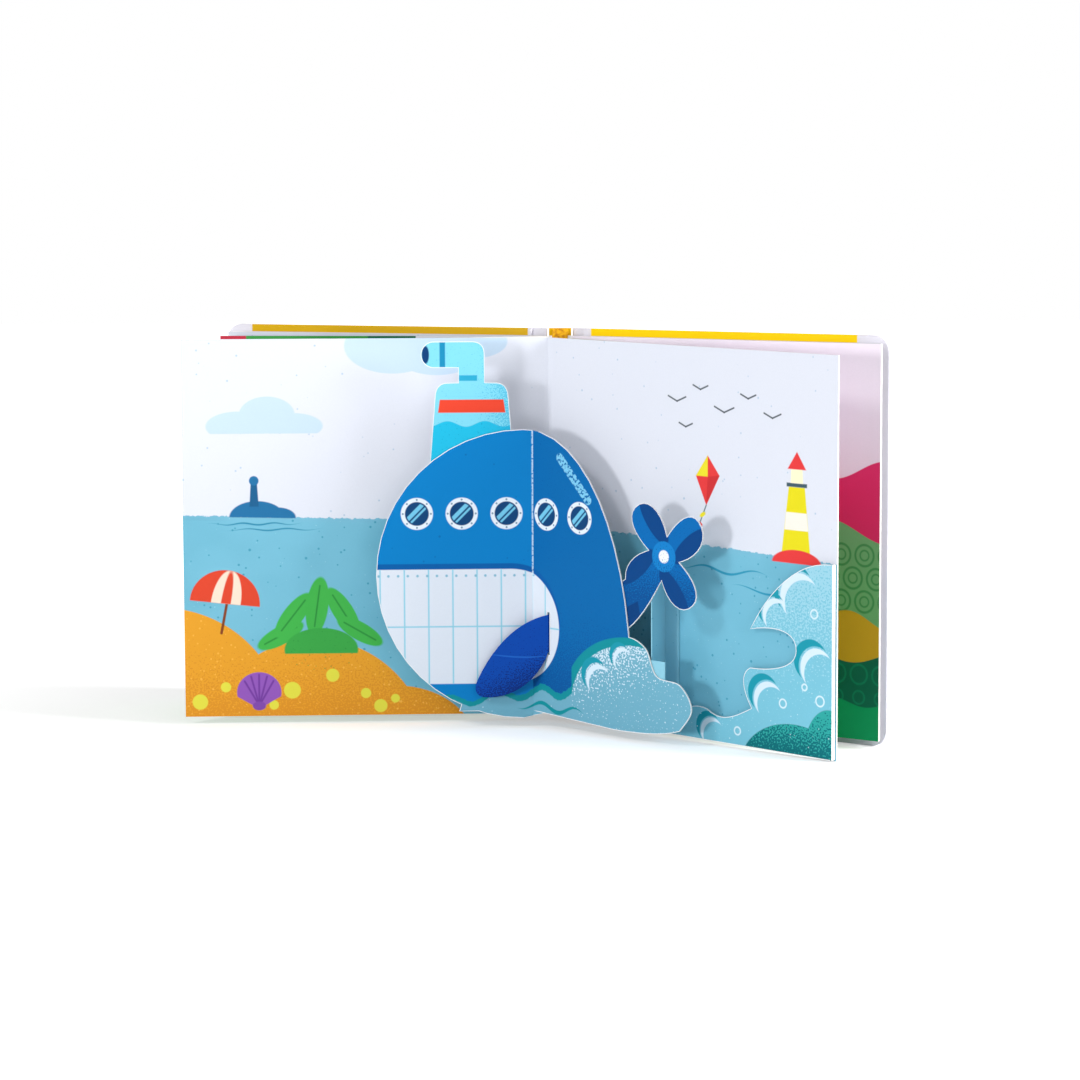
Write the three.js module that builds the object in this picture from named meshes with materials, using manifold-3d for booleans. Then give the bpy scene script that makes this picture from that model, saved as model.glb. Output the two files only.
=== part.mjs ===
// A children's pop-up book that stands open in the middle.
// Millimetres, +Z up, +X to the reader's right and +Y away from the reader.
import * as THREE from "three";
import { mergeVertices } from "three/addons/utils/BufferGeometryUtils.js";
import Module from "manifold-3d";

const wasm = await Module();
wasm.setup();

// Page block
const PAGE_WIDTH = 198;
const PAGE_HEIGHT = 205;
const SHEET = 0.5;
const LEAF = 2 * SHEET;
const GLUE_START = 55;
const FOLD_LAP = 0.3;

// Case: two boards and a spine board in one wrap of printed paper
const OVERHANG = 4;
const COVER_HEIGHT = PAGE_HEIGHT + 2 * OVERHANG;
const COVER_WIDTH = PAGE_WIDTH + OVERHANG;
const BOARD = 2.8;
const BOARD_EDGE = 0.5;
const CORNER_RADIUS = 9;
const GROOVE_WIDTH = 9;
const WRAP = 0.8;
const SPINE_WIDTH = 13.4;
const SPINE_DEPTH = 26;
const HINGE_GAP = 0.6;
const PASTEDOWN_HEIGHT = PAGE_HEIGHT;

// Gap between a glued sheet and the sheet that carries it
const SEAT = 0.3;

// How far each part of the open book is turned about the vertical, in degrees
const LEFT_PAGE_TURN = 2.6;
const RIGHT_PAGE_TURN = -43.2;
const FRONT_COVER_TURN = -25.1;
const BACK_COVER_TURN = -36.6;
const LEFT_LEAF_TURNS = [-19.5, -22.2];
const RIGHT_LEAF_TURNS = [-37.2, -36.9];

// Leaves hang on two small flanges of folded gutters in front of the spine
const GUTTER_LEFT = 1.5;
const GUTTER_RIGHT = 12;
const LEFT_LEAF_ROOTS = [18.5, 22.5];
const RIGHT_LEAF_ROOTS = [20.5, 23];

// How far the fore-edge of a leaf sinks under its own weight
const RIGHT_PAGE_SAG = OVERHANG;
const LEFT_LEAF_SAG = 1.8;

// Pop-up: a floating layer that stays parallel to both pages
const LAYER_HEIGHT = 23;
const CARD = 0.6;
const TAB_WIDTH = 10;
const LEFT_STRUT = 58;
const CENTRE_STRUT = 1.5;
const RIGHT_STRUT = 84;
const STRUT_FOOT = 8;
const LEFT_STRUT_FOOT = 32;
const STRUT_TOP = 100;
const RIGHT_TAB_TOP = 42;
const RIGHT_STRUT_TOP = 84;

// Hull and foam of the layer laid flat: X from its fold and Z from the lower edge of the pages
const HULL_X = -5;
const HULL_Z = 79;
const HULL_RADIUS_X = 79;
const HULL_RADIUS_Z = 78;
const HULL_STERN_X = 70;
const HULL_STERN_Z = 40;
const FOAM_FROM = -40;
const FOAM_TO = 104;
const FOAM_FOOT = 5;

// Hatch tower and screw, measured on their own pages from the gutter and the lower edge
const TOWER_X = -42;
const TOWER_WIDTH = 43;
const TOWER_FOOT = 126;
const TOWER_TOP = 182;
const PERISCOPE_TOP = 204;
const PERISCOPE_LENS = 7;
const SCREW_X = 102;
const SCREW_Z = 97;
const SCREW_BLADES = 4;
const SCREW_BLADE = 31;
const SCREW_HUB = 8;
const SCREW_TURN = 38;

// Side fin, hooked through a slit in the layer
const FIN_SLIT = 21;
const SLIT_EASE = 0.8;
const FIN_REACH = 40;
const FIN_LIFT = 3;
const FIN_FOOT = 38;
const FIN_TOP = 58;

// Raised wave card at the fore-edge of the right page
const WAVE_LIFT = 3.2;
const WAVE_EDGE = 0.6;
const WAVE_WIDTH = 108;
const WAVE_TOP = 100;

const rad = THREE.MathUtils.degToRad;
const halfSpread = rad(180 - LEFT_PAGE_TURN + RIGHT_PAGE_TURN) / 2;
const layerFold = LAYER_HEIGHT / Math.tan(halfSpread);
const layerBack = LAYER_HEIGHT - CARD - SEAT;
const rightSlope = RIGHT_PAGE_SAG / PAGE_WIDTH;

function finish(color, roughness) {
  return new THREE.MeshStandardMaterial({ color, roughness, metalness: 0 });
}

const wrapPaper = finish("#e9e6f0", 0.45);
const yellowWrap = finish("#e6bc00", 0.5);
const pageCard = finish("#e3e7f1", 0.75);
const liningCard = finish("#f4f2ee", 0.8);
const hullCard = finish("#0079c0", 0.55);
const supportCard = finish("#8cc4d8", 0.75);
const towerCard = finish("#56bfdc", 0.6);
const finCard = finish("#0047a6", 0.55);
const screwCard = finish("#005c9e", 0.55);
const seaCard = finish("#74b8cc", 0.65);

// Closed mesh to solid, and back again
function solidOf(geometry) {
  const bare = geometry.clone();
  bare.deleteAttribute("normal");
  bare.deleteAttribute("uv");
  const merged = mergeVertices(bare, 1e-4);
  const vertProperties = new Float32Array(merged.attributes.position.array);
  const triVerts = new Uint32Array(merged.index.array);
  return new wasm.Manifold(new wasm.Mesh({ numProp: 3, vertProperties, triVerts }));
}

function geometryOf(solid) {
  const mesh = solid.getMesh();
  const geometry = new THREE.BufferGeometry();
  geometry.setAttribute("position", new THREE.BufferAttribute(new Float32Array(mesh.vertProperties), 3));
  geometry.setIndex(new THREE.BufferAttribute(new Uint32Array(mesh.triVerts), 1));
  geometry.computeVertexNormals();
  return geometry;
}

function joined(geometries) {
  return geometryOf(geometries.map(solidOf).reduce((whole, piece) => whole.add(piece)));
}

function cut(geometry, tool) {
  return geometryOf(solidOf(geometry).subtract(solidOf(tool)));
}

function kept(geometry, region) {
  return geometryOf(solidOf(geometry).intersect(solidOf(region)));
}

// Box between two corners
function block(x0, x1, y0, y1, z0, z1) {
  const box = new THREE.BoxGeometry(x1 - x0, y1 - y0, z1 - z0);
  return box.translate((x0 + x1) / 2, (y0 + y1) / 2, (z0 + z1) / 2);
}

// Upright sheet whose outline is drawn in X and Z, its front face LIFT in front of the page
function upright(shape, lift, thickness) {
  const options = { depth: thickness, bevelEnabled: false, curveSegments: 12 };
  const sheet = new THREE.ExtrudeGeometry(shape, options);
  return sheet.rotateX(Math.PI / 2).translate(0, thickness - lift, 0);
}

// Upright strip of card between two points of the plan
function strip(from, to, thickness, foot, top) {
  const run = new THREE.Vector2().subVectors(to, from);
  const middle = new THREE.Vector2().addVectors(to, from).multiplyScalar(0.5);
  const sheet = new THREE.BoxGeometry(run.length(), thickness, top - foot);
  return sheet.rotateZ(run.angle()).translate(middle.x, middle.y, (foot + top) / 2);
}

// Lowers a sheet in proportion to its distance from the line x = PIVOT
function sagged(geometry, slope, pivot = 0) {
  const position = geometry.attributes.position;
  for (let i = 0; i < position.count; i += 1) {
    const reach = Math.abs(position.getX(i) - pivot);
    position.setZ(i, position.getZ(i) - slope * reach);
  }
  return geometry;
}

// Turns a geometry about the vertical and moves it in the plan
function placed(geometry, turn, x = 0, y = 0) {
  return geometry.rotateZ(rad(turn)).translate(x, y, 0);
}

// Point of the plan that lies ALONG a turned page and LIFT in front of it
function onPage(turn, along, lift) {
  return new THREE.Vector2(along, -lift).rotateAround(new THREE.Vector2(), rad(turn));
}

// One half of the case: the board with round outer corners, and the thin groove beside the spine
function coverBoard(side) {
  const inner = GROOVE_WIDTH;
  const outer = COVER_WIDTH;
  const r = CORNER_RADIUS;
  const e = BOARD_EDGE;
  const shape = new THREE.Shape();
  shape.moveTo(inner + e, e);
  shape.lineTo(outer - r, e);
  shape.absarc(outer - r, r, r - e, -Math.PI / 2, 0);
  shape.lineTo(outer - e, COVER_HEIGHT - r);
  shape.absarc(outer - r, COVER_HEIGHT - r, r - e, 0, Math.PI / 2);
  shape.lineTo(inner + e, COVER_HEIGHT - e);
  shape.closePath();
  const options = {
    depth: BOARD - 2 * e,
    bevelThickness: e,
    bevelSize: e,
    bevelSegments: 3,
    curveSegments: 10,
  };
  const board = new THREE.ExtrudeGeometry(shape, options);
  board.rotateX(Math.PI / 2).translate(0, BOARD / 2 - e, 0);
  const back = BOARD / 2;
  const groove = block(HINGE_GAP, inner + 1, back - WRAP, back, 0, COVER_HEIGHT);
  const cover = joined([board, groove]);
  return side > 0 ? cover : mirrored(cover);
}

function mirrored(geometry) {
  const flipped = geometry.index ? geometry.toNonIndexed() : geometry.clone();
  const position = flipped.attributes.position;
  const corner = new THREE.Vector3();
  const other = new THREE.Vector3();
  for (let i = 0; i < position.count; i += 3) {
    corner.fromBufferAttribute(position, i + 1);
    other.fromBufferAttribute(position, i + 2);
    position.setXYZ(i + 1, other.x, other.y, other.z);
    position.setXYZ(i + 2, corner.x, corner.y, corner.z);
  }
  for (let i = 0; i < position.count; i += 1) {
    position.setX(i, -position.getX(i));
  }
  flipped.deleteAttribute("normal");
  flipped.deleteAttribute("uv");
  const closed = mergeVertices(flipped, 1e-4);
  closed.computeVertexNormals();
  return closed;
}

// Lining leaf glued on the inside of a cover
function pastedown(side) {
  const inner = GROOVE_WIDTH + 1;
  const outer = COVER_WIDTH - OVERHANG;
  const face = -BOARD / 2 - SEAT;
  const [x0, x1] = side > 0 ? [inner, outer] : [-outer, -inner];
  return block(x0, x1, face - SHEET, face, OVERHANG, OVERHANG + PASTEDOWN_HEIGHT);
}

// The leaves fan out from the folded gutters as one glued block
function pageBlock() {
  const foot = OVERHANG;
  const top = OVERHANG + PAGE_HEIGHT;
  const back = SPINE_DEPTH - SEAT - LEAF / 2;
  const flangeFrom = new THREE.Vector2(GUTTER_LEFT - SHEET, back);
  const flangeTo = new THREE.Vector2(GUTTER_RIGHT + SHEET, back);
  const sheets = [strip(flangeFrom, flangeTo, LEAF, foot, top)];
  const sides = [
    { x: GUTTER_LEFT, roots: LEFT_LEAF_ROOTS, turns: LEFT_LEAF_TURNS, way: -1, sags: [LEFT_LEAF_SAG, 0] },
    { x: GUTTER_RIGHT, roots: RIGHT_LEAF_ROOTS, turns: RIGHT_LEAF_TURNS, way: 1, sags: [0, 0] },
  ];
  for (const { x, roots, turns, way, sags } of sides) {
    sheets.push(block(x - LEAF / 2, x + LEAF / 2, roots[0] - LEAF / 2, back, foot, top));
    roots.forEach((root, i) => {
      const [x0, x1] = way > 0 ? [0, PAGE_WIDTH] : [-PAGE_WIDTH, 0];
      const leaf = sagged(block(x0, x1, -LEAF / 2, LEAF / 2, foot, top), sags[i] / PAGE_WIDTH);
      sheets.push(placed(leaf, turns[i], x, root));
    });
  }
  const open = [
    { turn: LEFT_PAGE_TURN, way: -1, slope: 0, x: GUTTER_LEFT, root: LEFT_LEAF_ROOTS[0] },
    { turn: RIGHT_PAGE_TURN, way: 1, slope: rightSlope, x: GUTTER_RIGHT, root: RIGHT_LEAF_ROOTS[0] },
  ];
  for (const { turn, way, slope, x, root } of open) {
    const ends = (near, far) => (way > 0 ? [near, far] : [-far, -near]);
    const front = block(...ends(-FOLD_LAP, PAGE_WIDTH), 0, SHEET, foot, top);
    const rear = block(...ends(GLUE_START - 1, PAGE_WIDTH), SHEET / 2, LEAF, foot, top);
    sheets.push(placed(sagged(front, slope), turn));
    sheets.push(placed(sagged(rear, slope), turn));
    const join = onPage(turn, way * GLUE_START, -0.75 * LEAF);
    const flap = strip(new THREE.Vector2(x, root), join, SHEET, foot, top - slope * GLUE_START);
    sheets.push(flap);
  }
  return joined(sheets);
}

// Outline of the pop-up laid flat, with its fold at x = 0: a round hull that rises from foam
function hullOutline() {
  const top = HULL_Z + HULL_RADIUS_Z;
  const hull = new THREE.Shape();
  hull.moveTo(HULL_X, top);
  hull.absellipse(HULL_X, HULL_Z, HULL_RADIUS_X, HULL_RADIUS_Z, Math.PI / 2, 1.5 * Math.PI);
  hull.lineTo(HULL_STERN_X - 50, HULL_STERN_Z - 32);
  hull.lineTo(HULL_STERN_X, HULL_STERN_Z);
  hull.bezierCurveTo(HULL_STERN_X - 4, HULL_STERN_Z + 64, HULL_X + 45, top, HULL_X, top);
  return hull;
}

function foamOutline() {
  const foam = new THREE.Shape();
  foam.moveTo(FOAM_FROM, FOAM_FOOT);
  const crests = [[-36, 13], [-24, 17], [-8, 15], [8, 24], [24, 25], [38, 36], [54, 40], [66, 52], [80, 48],
    [88, 34], [FOAM_TO, 31], [FOAM_TO + 8, 19], [FOAM_TO, FOAM_FOOT + 2]];
  foam.splineThru(crests.map(([x, z]) => new THREE.Vector2(x, z)));
  foam.quadraticCurveTo(90, FOAM_FOOT - 3, 58, FOAM_FOOT - 3);
  foam.quadraticCurveTo(20, FOAM_FOOT - 1, 0, FOAM_FOOT);
  foam.closePath();
  return foam;
}

// The flat sheet is creased at x = 0 and each half is laid parallel to its own page
function hullPanel() {
  const sheets = [hullOutline(), foamOutline()].map((outline) => upright(outline, CARD, CARD));
  const flat = joined(sheets);
  const reach = 2 * PAGE_WIDTH;
  const left = kept(flat, block(-reach, FOLD_LAP, -1, 1, -1, PAGE_HEIGHT));
  const right = kept(flat, block(-FOLD_LAP, reach, -1, 1, -1, PAGE_HEIGHT));
  const middle = FIN_SLIT - layerFold;
  const ends = [FIN_FOOT - 2 * SLIT_EASE, FIN_TOP + 2 * SLIT_EASE];
  const slit = block(middle - SLIT_EASE, middle + SLIT_EASE, -1, 1, ...ends);
  const slitted = sagged(cut(right, slit), rightSlope);
  const forward = CARD - LAYER_HEIGHT;
  return joined([
    placed(left.translate(-layerFold, forward, OVERHANG), LEFT_PAGE_TURN),
    placed(slitted.translate(layerFold, forward, OVERHANG), RIGHT_PAGE_TURN),
  ]);
}

// Folded strut: a tab on the page, a slanted wall and a tab behind the layer
function strut(way, root, start, tabTop, wallTop) {
  const foot = OVERHANG + start;
  const low = -SEAT - SHEET / 2;
  const high = -layerBack + SHEET / 2;
  const lean = ((low - high) * layerFold) / LAYER_HEIGHT;
  const tip = root + lean;
  const span = (from) => (way > 0 ? [from, from + TAB_WIDTH] : [-from - TAB_WIDTH, -from]);
  const wall = (end, z0, z1) => {
    const share = (end - low) / (high - low);
    const far = new THREE.Vector2(way * (root + lean * share), end);
    return strip(new THREE.Vector2(way * root, low), far, SHEET, z0, z1);
  };
  const pieces = [
    block(...span(root - SHEET / 2), low - SHEET / 2, low + SHEET / 2, foot, OVERHANG + wallTop),
    wall(high, foot, OVERHANG + tabTop),
    block(...span(tip - SHEET / 2), high - SHEET / 2, high + SHEET / 2, foot, OVERHANG + tabTop),
  ];
  if (wallTop > tabTop) {
    pieces.push(wall(high + SHEET + SEAT, OVERHANG + tabTop - 1, OVERHANG + wallTop));
  }
  return sagged(joined(pieces), way > 0 ? rightSlope : 0);
}

// Hatch tower with a periscope, glued behind the left half of the hull
function towerOutline() {
  const r = PERISCOPE_LENS;
  const half = TOWER_WIDTH / 2;
  const tube = TOWER_X - r;
  const lens = TOWER_X - 20;
  const axis = PERISCOPE_TOP - r;
  const tower = new THREE.Shape();
  tower.moveTo(TOWER_X - half - 2, TOWER_FOOT);
  tower.lineTo(TOWER_X - half + 2, TOWER_TOP - 6);
  tower.quadraticCurveTo(TOWER_X - half + 3, TOWER_TOP, TOWER_X - half + 9, TOWER_TOP);
  tower.lineTo(tube, TOWER_TOP);
  tower.lineTo(tube, axis - r);
  tower.lineTo(lens, axis - r);
  tower.absarc(lens, axis, r, 1.5 * Math.PI, 0.5 * Math.PI, true);
  tower.lineTo(tube + r, PERISCOPE_TOP);
  tower.quadraticCurveTo(tube + 2 * r, PERISCOPE_TOP, tube + 2 * r, axis);
  tower.lineTo(tube + 2 * r, TOWER_TOP);
  tower.lineTo(TOWER_X + half - 9, TOWER_TOP);
  tower.quadraticCurveTo(TOWER_X + half - 3, TOWER_TOP, TOWER_X + half - 2, TOWER_TOP - 6);
  tower.lineTo(TOWER_X + half + 2, TOWER_FOOT);
  tower.closePath();
  return tower;
}

// Screw with four round blades on a boom, glued behind the right half of the hull
function screwGeometry() {
  const plate = { depth: SHEET, bevelEnabled: false, curveSegments: 10 };
  const blade = new THREE.Shape();
  blade.moveTo(0, -SCREW_HUB / 2);
  blade.bezierCurveTo(14, -15, SCREW_BLADE + 1, -12, SCREW_BLADE, 1);
  blade.bezierCurveTo(SCREW_BLADE - 1, 11, 14, 10, 0, SCREW_HUB / 2);
  blade.closePath();
  const blades = [];
  for (let i = 0; i < SCREW_BLADES; i += 1) {
    const turn = rad((360 / SCREW_BLADES) * i + SCREW_TURN);
    blades.push(new THREE.ExtrudeGeometry(blade, plate).rotateZ(turn).translate(SCREW_X, SCREW_Z, 0));
  }
  const hub = new THREE.CylinderGeometry(SCREW_HUB, SCREW_HUB, SHEET, 32).rotateX(Math.PI / 2);
  hub.translate(SCREW_X, SCREW_Z, SHEET / 2);
  const boom = new THREE.Shape();
  boom.moveTo(SCREW_X - 36, SCREW_Z - 45);
  boom.quadraticCurveTo(SCREW_X - 18, SCREW_Z - 43, SCREW_X + 3, SCREW_Z - 5);
  boom.lineTo(SCREW_X - 4, SCREW_Z + 4);
  boom.quadraticCurveTo(SCREW_X - 22, SCREW_Z - 15, SCREW_X - 38, SCREW_Z - 19);
  boom.closePath();
  const stem = new THREE.ExtrudeGeometry(boom, plate);
  const flat = joined([...blades, hub, stem]);
  flat.rotateX(Math.PI / 2).translate(0, SHEET - layerBack, OVERHANG);
  return sagged(flat, rightSlope, layerFold);
}

// Side fin: the plate bridges the fold and its tab passes through the slit
function finGeometry() {
  const grip = onPage(RIGHT_PAGE_TURN, FIN_SLIT, LAYER_HEIGHT + SEAT);
  const tip = onPage(LEFT_PAGE_TURN, -FIN_REACH, LAYER_HEIGHT + FIN_LIFT);
  const span = grip.distanceTo(tip);
  const turn = THREE.MathUtils.radToDeg(Math.atan2(grip.y - tip.y, grip.x - tip.x));
  const plate = new THREE.Shape();
  plate.moveTo(0.2, FIN_FOOT);
  plate.lineTo(0.2, FIN_TOP);
  plate.bezierCurveTo(-14, 55, -28, 44, -span, 22);
  plate.quadraticCurveTo(-span - 3, 14, -span + 4, 13);
  plate.bezierCurveTo(-22, 12, -6, 20, 0.2, FIN_FOOT);
  const blade = upright(plate, SHEET / 2, SHEET).translate(0, 0, OVERHANG);
  const foot = OVERHANG + FIN_FOOT;
  const top = OVERHANG + FIN_TOP;
  const near = FIN_SLIT - SHEET / 2;
  const back = SHEET - layerBack;
  const bend = block(near, near + SHEET, -LAYER_HEIGHT - 2 * SEAT, back, foot, top);
  const tab = block(near, near + TAB_WIDTH, -layerBack, back, foot, top);
  return joined([
    placed(blade, turn, grip.x, grip.y),
    placed(bend, RIGHT_PAGE_TURN),
    placed(tab, RIGHT_PAGE_TURN),
  ]);
}

// Raised wave card with a folded edge that stands on the page, drawn inwards from the fore-edge
function waveGeometry() {
  const outer = PAGE_WIDTH - WAVE_EDGE;
  const wave = new THREE.Shape();
  wave.moveTo(-WAVE_WIDTH, WAVE_EDGE);
  wave.lineTo(0, WAVE_EDGE);
  wave.lineTo(0, WAVE_TOP);
  wave.bezierCurveTo(-22, WAVE_TOP + 1, -42, 82, -53, 62);
  wave.bezierCurveTo(-34, 66, -23, 63, -23, 54);
  wave.bezierCurveTo(-23, 44, -42, 42, -53, 42);
  wave.bezierCurveTo(-61, 38, -57, 28, -52, 21);
  wave.bezierCurveTo(-64, 15, -72, 11, -82, 17);
  wave.bezierCurveTo(-92, 20, -102, 14, -WAVE_WIDTH, 6);
  wave.closePath();
  const sheet = upright(wave, WAVE_LIFT, CARD).translate(outer, 0, OVERHANG);
  const edge = block(outer - CARD, outer, -WAVE_LIFT, -SEAT, OVERHANG + WAVE_EDGE, OVERHANG + WAVE_TOP);
  return sagged(joined([sheet, edge]), rightSlope);
}

function piece(name, geometry, material) {
  const mesh = new THREE.Mesh(geometry, material);
  mesh.name = name;
  return mesh;
}

const book = new THREE.Group();

// Case
const hingeDepth = SPINE_DEPTH + BOARD - WRAP / 2;
const frontCover = new THREE.Group();
frontCover.position.set(0, hingeDepth, 0);
frontCover.rotation.z = rad(FRONT_COVER_TURN);
const backCover = new THREE.Group();
backCover.position.set(SPINE_WIDTH, hingeDepth, 0);
backCover.rotation.z = rad(BACK_COVER_TURN);
const boardShift = WRAP / 2 - BOARD / 2;
const frontBoard = piece("front_cover", coverBoard(-1), wrapPaper);
const backBoard = piece("back_cover", coverBoard(1), wrapPaper);
const frontLining = piece("front_pastedown", pastedown(-1), liningCard);
const backLining = piece("back_pastedown", pastedown(1), liningCard);
for (const mesh of [frontBoard, backBoard, frontLining, backLining]) {
  mesh.position.y = boardShift;
}
frontCover.add(frontBoard, frontLining);
backCover.add(backBoard, backLining);
const spineBack = SPINE_DEPTH + BOARD;
const spine = block(HINGE_GAP, SPINE_WIDTH - HINGE_GAP, SPINE_DEPTH, spineBack, 0, COVER_HEIGHT);
book.add(frontCover, backCover, piece("spine", spine, yellowWrap));

// Leaves
book.add(piece("pages", pageBlock(), pageCard));

// Pop-up
const leftPage = new THREE.Group();
leftPage.rotation.z = rad(LEFT_PAGE_TURN);
const rightPage = new THREE.Group();
rightPage.rotation.z = rad(RIGHT_PAGE_TURN);
leftPage.add(
  piece("left_strut", strut(-1, LEFT_STRUT, LEFT_STRUT_FOOT, STRUT_TOP, STRUT_TOP), supportCard),
  piece("hatch_tower", upright(towerOutline(), layerBack, SHEET).translate(0, 0, OVERHANG), towerCard),
);
rightPage.add(
  piece("centre_strut", strut(1, CENTRE_STRUT, STRUT_FOOT, STRUT_TOP, STRUT_TOP), supportCard),
  piece("right_strut", strut(1, RIGHT_STRUT, STRUT_FOOT, RIGHT_TAB_TOP, RIGHT_STRUT_TOP), supportCard),
  piece("screw", screwGeometry(), screwCard),
  piece("wave_card", waveGeometry(), seaCard),
);
book.add(leftPage, rightPage);
book.add(piece("hull_panel", hullPanel(), hullCard), piece("side_fin", finGeometry(), finCard));

// The origin is at the middle of the ground outline
const bounds = new THREE.Box3().setFromObject(book, true);
const middle = bounds.getCenter(new THREE.Vector3());
book.position.set(-middle.x, -middle.y, -bounds.min.z);

export default book;
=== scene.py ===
"""Looks for a children's pop-up book that stands open in the middle.

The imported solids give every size. This script prints the card, wraps the boards, adds the
folded paper at the head of the spine and sets a plain white studio. Page coordinates are
millimetres: X runs to the reader's right from the gutter of the open pages, Y runs up from
their lower edge, and depth runs away from the reader.
"""

import logging
import math
from contextlib import contextmanager
from dataclasses import dataclass, replace
from enum import Enum
from typing import Callable, Iterator, Optional, Sequence, Union

import bpy
from mathutils import Matrix, Vector


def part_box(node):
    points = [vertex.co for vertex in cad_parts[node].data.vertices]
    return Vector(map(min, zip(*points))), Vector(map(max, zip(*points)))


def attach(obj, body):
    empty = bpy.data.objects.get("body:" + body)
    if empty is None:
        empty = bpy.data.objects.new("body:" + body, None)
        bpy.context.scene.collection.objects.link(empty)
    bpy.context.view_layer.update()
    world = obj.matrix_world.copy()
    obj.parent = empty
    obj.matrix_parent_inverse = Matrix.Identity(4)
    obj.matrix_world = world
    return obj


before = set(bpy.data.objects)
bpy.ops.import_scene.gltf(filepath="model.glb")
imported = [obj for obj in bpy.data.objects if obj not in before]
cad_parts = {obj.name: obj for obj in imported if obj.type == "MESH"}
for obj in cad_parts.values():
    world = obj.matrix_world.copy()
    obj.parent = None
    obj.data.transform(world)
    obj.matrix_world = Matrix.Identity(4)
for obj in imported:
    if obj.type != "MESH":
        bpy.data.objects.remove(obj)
logging.basicConfig(level=logging.INFO, format="%(message)s")
log = logging.getLogger("book")

MM = 0.001

# Sizes of the book that the solids don't tell by their boxes, in millimetres
PAGE_WIDTH = 198.0
PAGE_HEIGHT = 205.0
OVERHANG = 4.0
SPINE_DEPTH = 26.0
HINGE_GAP = 0.6
HINGE_FROM_INSIDE = 2.4
GROOVE = 9.0
LEAF = 1.0
CARD = 0.6
SEAT = 0.3
LAYER_LIFT = 23.0
TOWER_LIFT = LAYER_LIFT - CARD - SEAT
WAVE_LIFT = 3.2
PAGE_SAG = 4.0
PAGE_SLOPE = PAGE_SAG / PAGE_WIDTH

# Turns of the open pages and of the covers about the vertical, in degrees
LEFT_TURN = 2.6
RIGHT_TURN = -43.2
FRONT_COVER_TURN = -25.1
BACK_COVER_TURN = -36.6

# A print or rim stands this far off its solid, and ink goes this far into a cut edge
PRINT_LIFT = 0.06
INK_DEPTH = 0.12
# A print sheet has this many strips along the leaf, so that it can sag
STRIPS = 4

# Half widths in millimetres of the soft edge of a shape, a thin line, a dot and a core
CRISP = 0.25
LINE_CRISP = 0.2
DOT_CRISP = 0.15
CORE_CRISP = 0.02
# The same for specks and ink dots, as a share of their pattern's height
GRAIN_CRISP = 0.03

# The camera of the photograph, from the lines of the pages and covers in its frame
IMAGE_SIDE = 1080.0
FOCAL_PIXELS = 3227.0
CAMERA_BESIDE_GUTTER = -4.76
CAMERA_DISTANCE = 1745.2
CAMERA_HEIGHT = 280.3
CAMERA_PITCH = 0.10352
CAMERA_ROLL = -0.004
SENSOR = 36.0

# Inks that several shapes share, as sRGB hex codes
PAGE_WHITE = "dbdfea"
CORE_WHITE = "f1efec"
WRAP_WHITE = "e6e4ee"
CLOUD_BLUE = "c0d6ea"
RIPPLE_BLUE = "2f86a8"
LINE_BLUE = "2f93b4"
FLECK_BLUE = "3f93b0"
ROCK_BLUE = "1f6c9e"
DEEP_BLUE = "00407f"
SEAM_BLUE = "8ccbe0"
GLEAM_BLUE = "6fc0e0"
TEAL = "0e8c96"
SIGNAL_RED = "e0393a"
CANOPY_RED = "d8442a"
LEMON = "e9dc2c"
BUSH_DARK = "2b8a3a"
RING_GREEN = "4b9a5c"
GULL_GREY = "3c4650"

# Types of shader node that are used often
MATH = "ShaderNodeMath"
VECTOR_MATH = "ShaderNodeVectorMath"
MAP_RANGE = "ShaderNodeMapRange"
MAPPING = "ShaderNodeMapping"
NOISE = "ShaderNodeTexNoise"
SPLIT = "ShaderNodeSeparateXYZ"
JOIN = "ShaderNodeCombineXYZ"
MIX = "ShaderNodeMix"
# A Mix node has sockets of the same name for each type of data, so they go by number
MIX_FACTOR = 0
MIX_NUMBER_A, MIX_NUMBER_B = 2, 3
MIX_COLOUR_A, MIX_COLOUR_B = 6, 7
MIX_NUMBER_OUT = 0
MIX_COLOUR_OUT = 2

Colour = tuple[float, float, float, float]
Point = tuple[float, float]
Socket = bpy.types.NodeSocket


def linear(code: str) -> Colour:
    """Turns an sRGB hex code into a linear colour.

    Args:
        code: six hex digits, such as "0079c0".

    Returns:
        Linear red, green, blue and an alpha of 1.
    """
    parts = [int(code[i:i + 2], 16) / 255 for i in (0, 2, 4)]
    tones = [p / 12.92 if p <= 0.04045 else ((p + 0.055) / 1.055) ** 2.4 for p in parts]
    return (tones[0], tones[1], tones[2], 1.0)


def gutter() -> Vector:
    """Returns the foot of the open gutter in metres, worked out from the spine board."""
    low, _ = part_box("spine")
    return Vector((low[0] - HINGE_GAP * MM, low[1] - SPINE_DEPTH * MM, OVERHANG * MM))


def turned(along: float, depth: float, turn: float) -> Vector:
    """Turns a place on a page into a plan vector.

    Args:
        along: millimetres along the page, to the right.
        depth: millimetres behind its front face.
        turn: turn of the page about the vertical in degrees.

    Returns:
        The level vector from the page's zero point, in metres.
    """
    angle = math.radians(turn)
    x = along * math.cos(angle) - depth * math.sin(angle)
    y = along * math.sin(angle) + depth * math.cos(angle)
    return Vector((x * MM, y * MM, 0.0))


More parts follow.
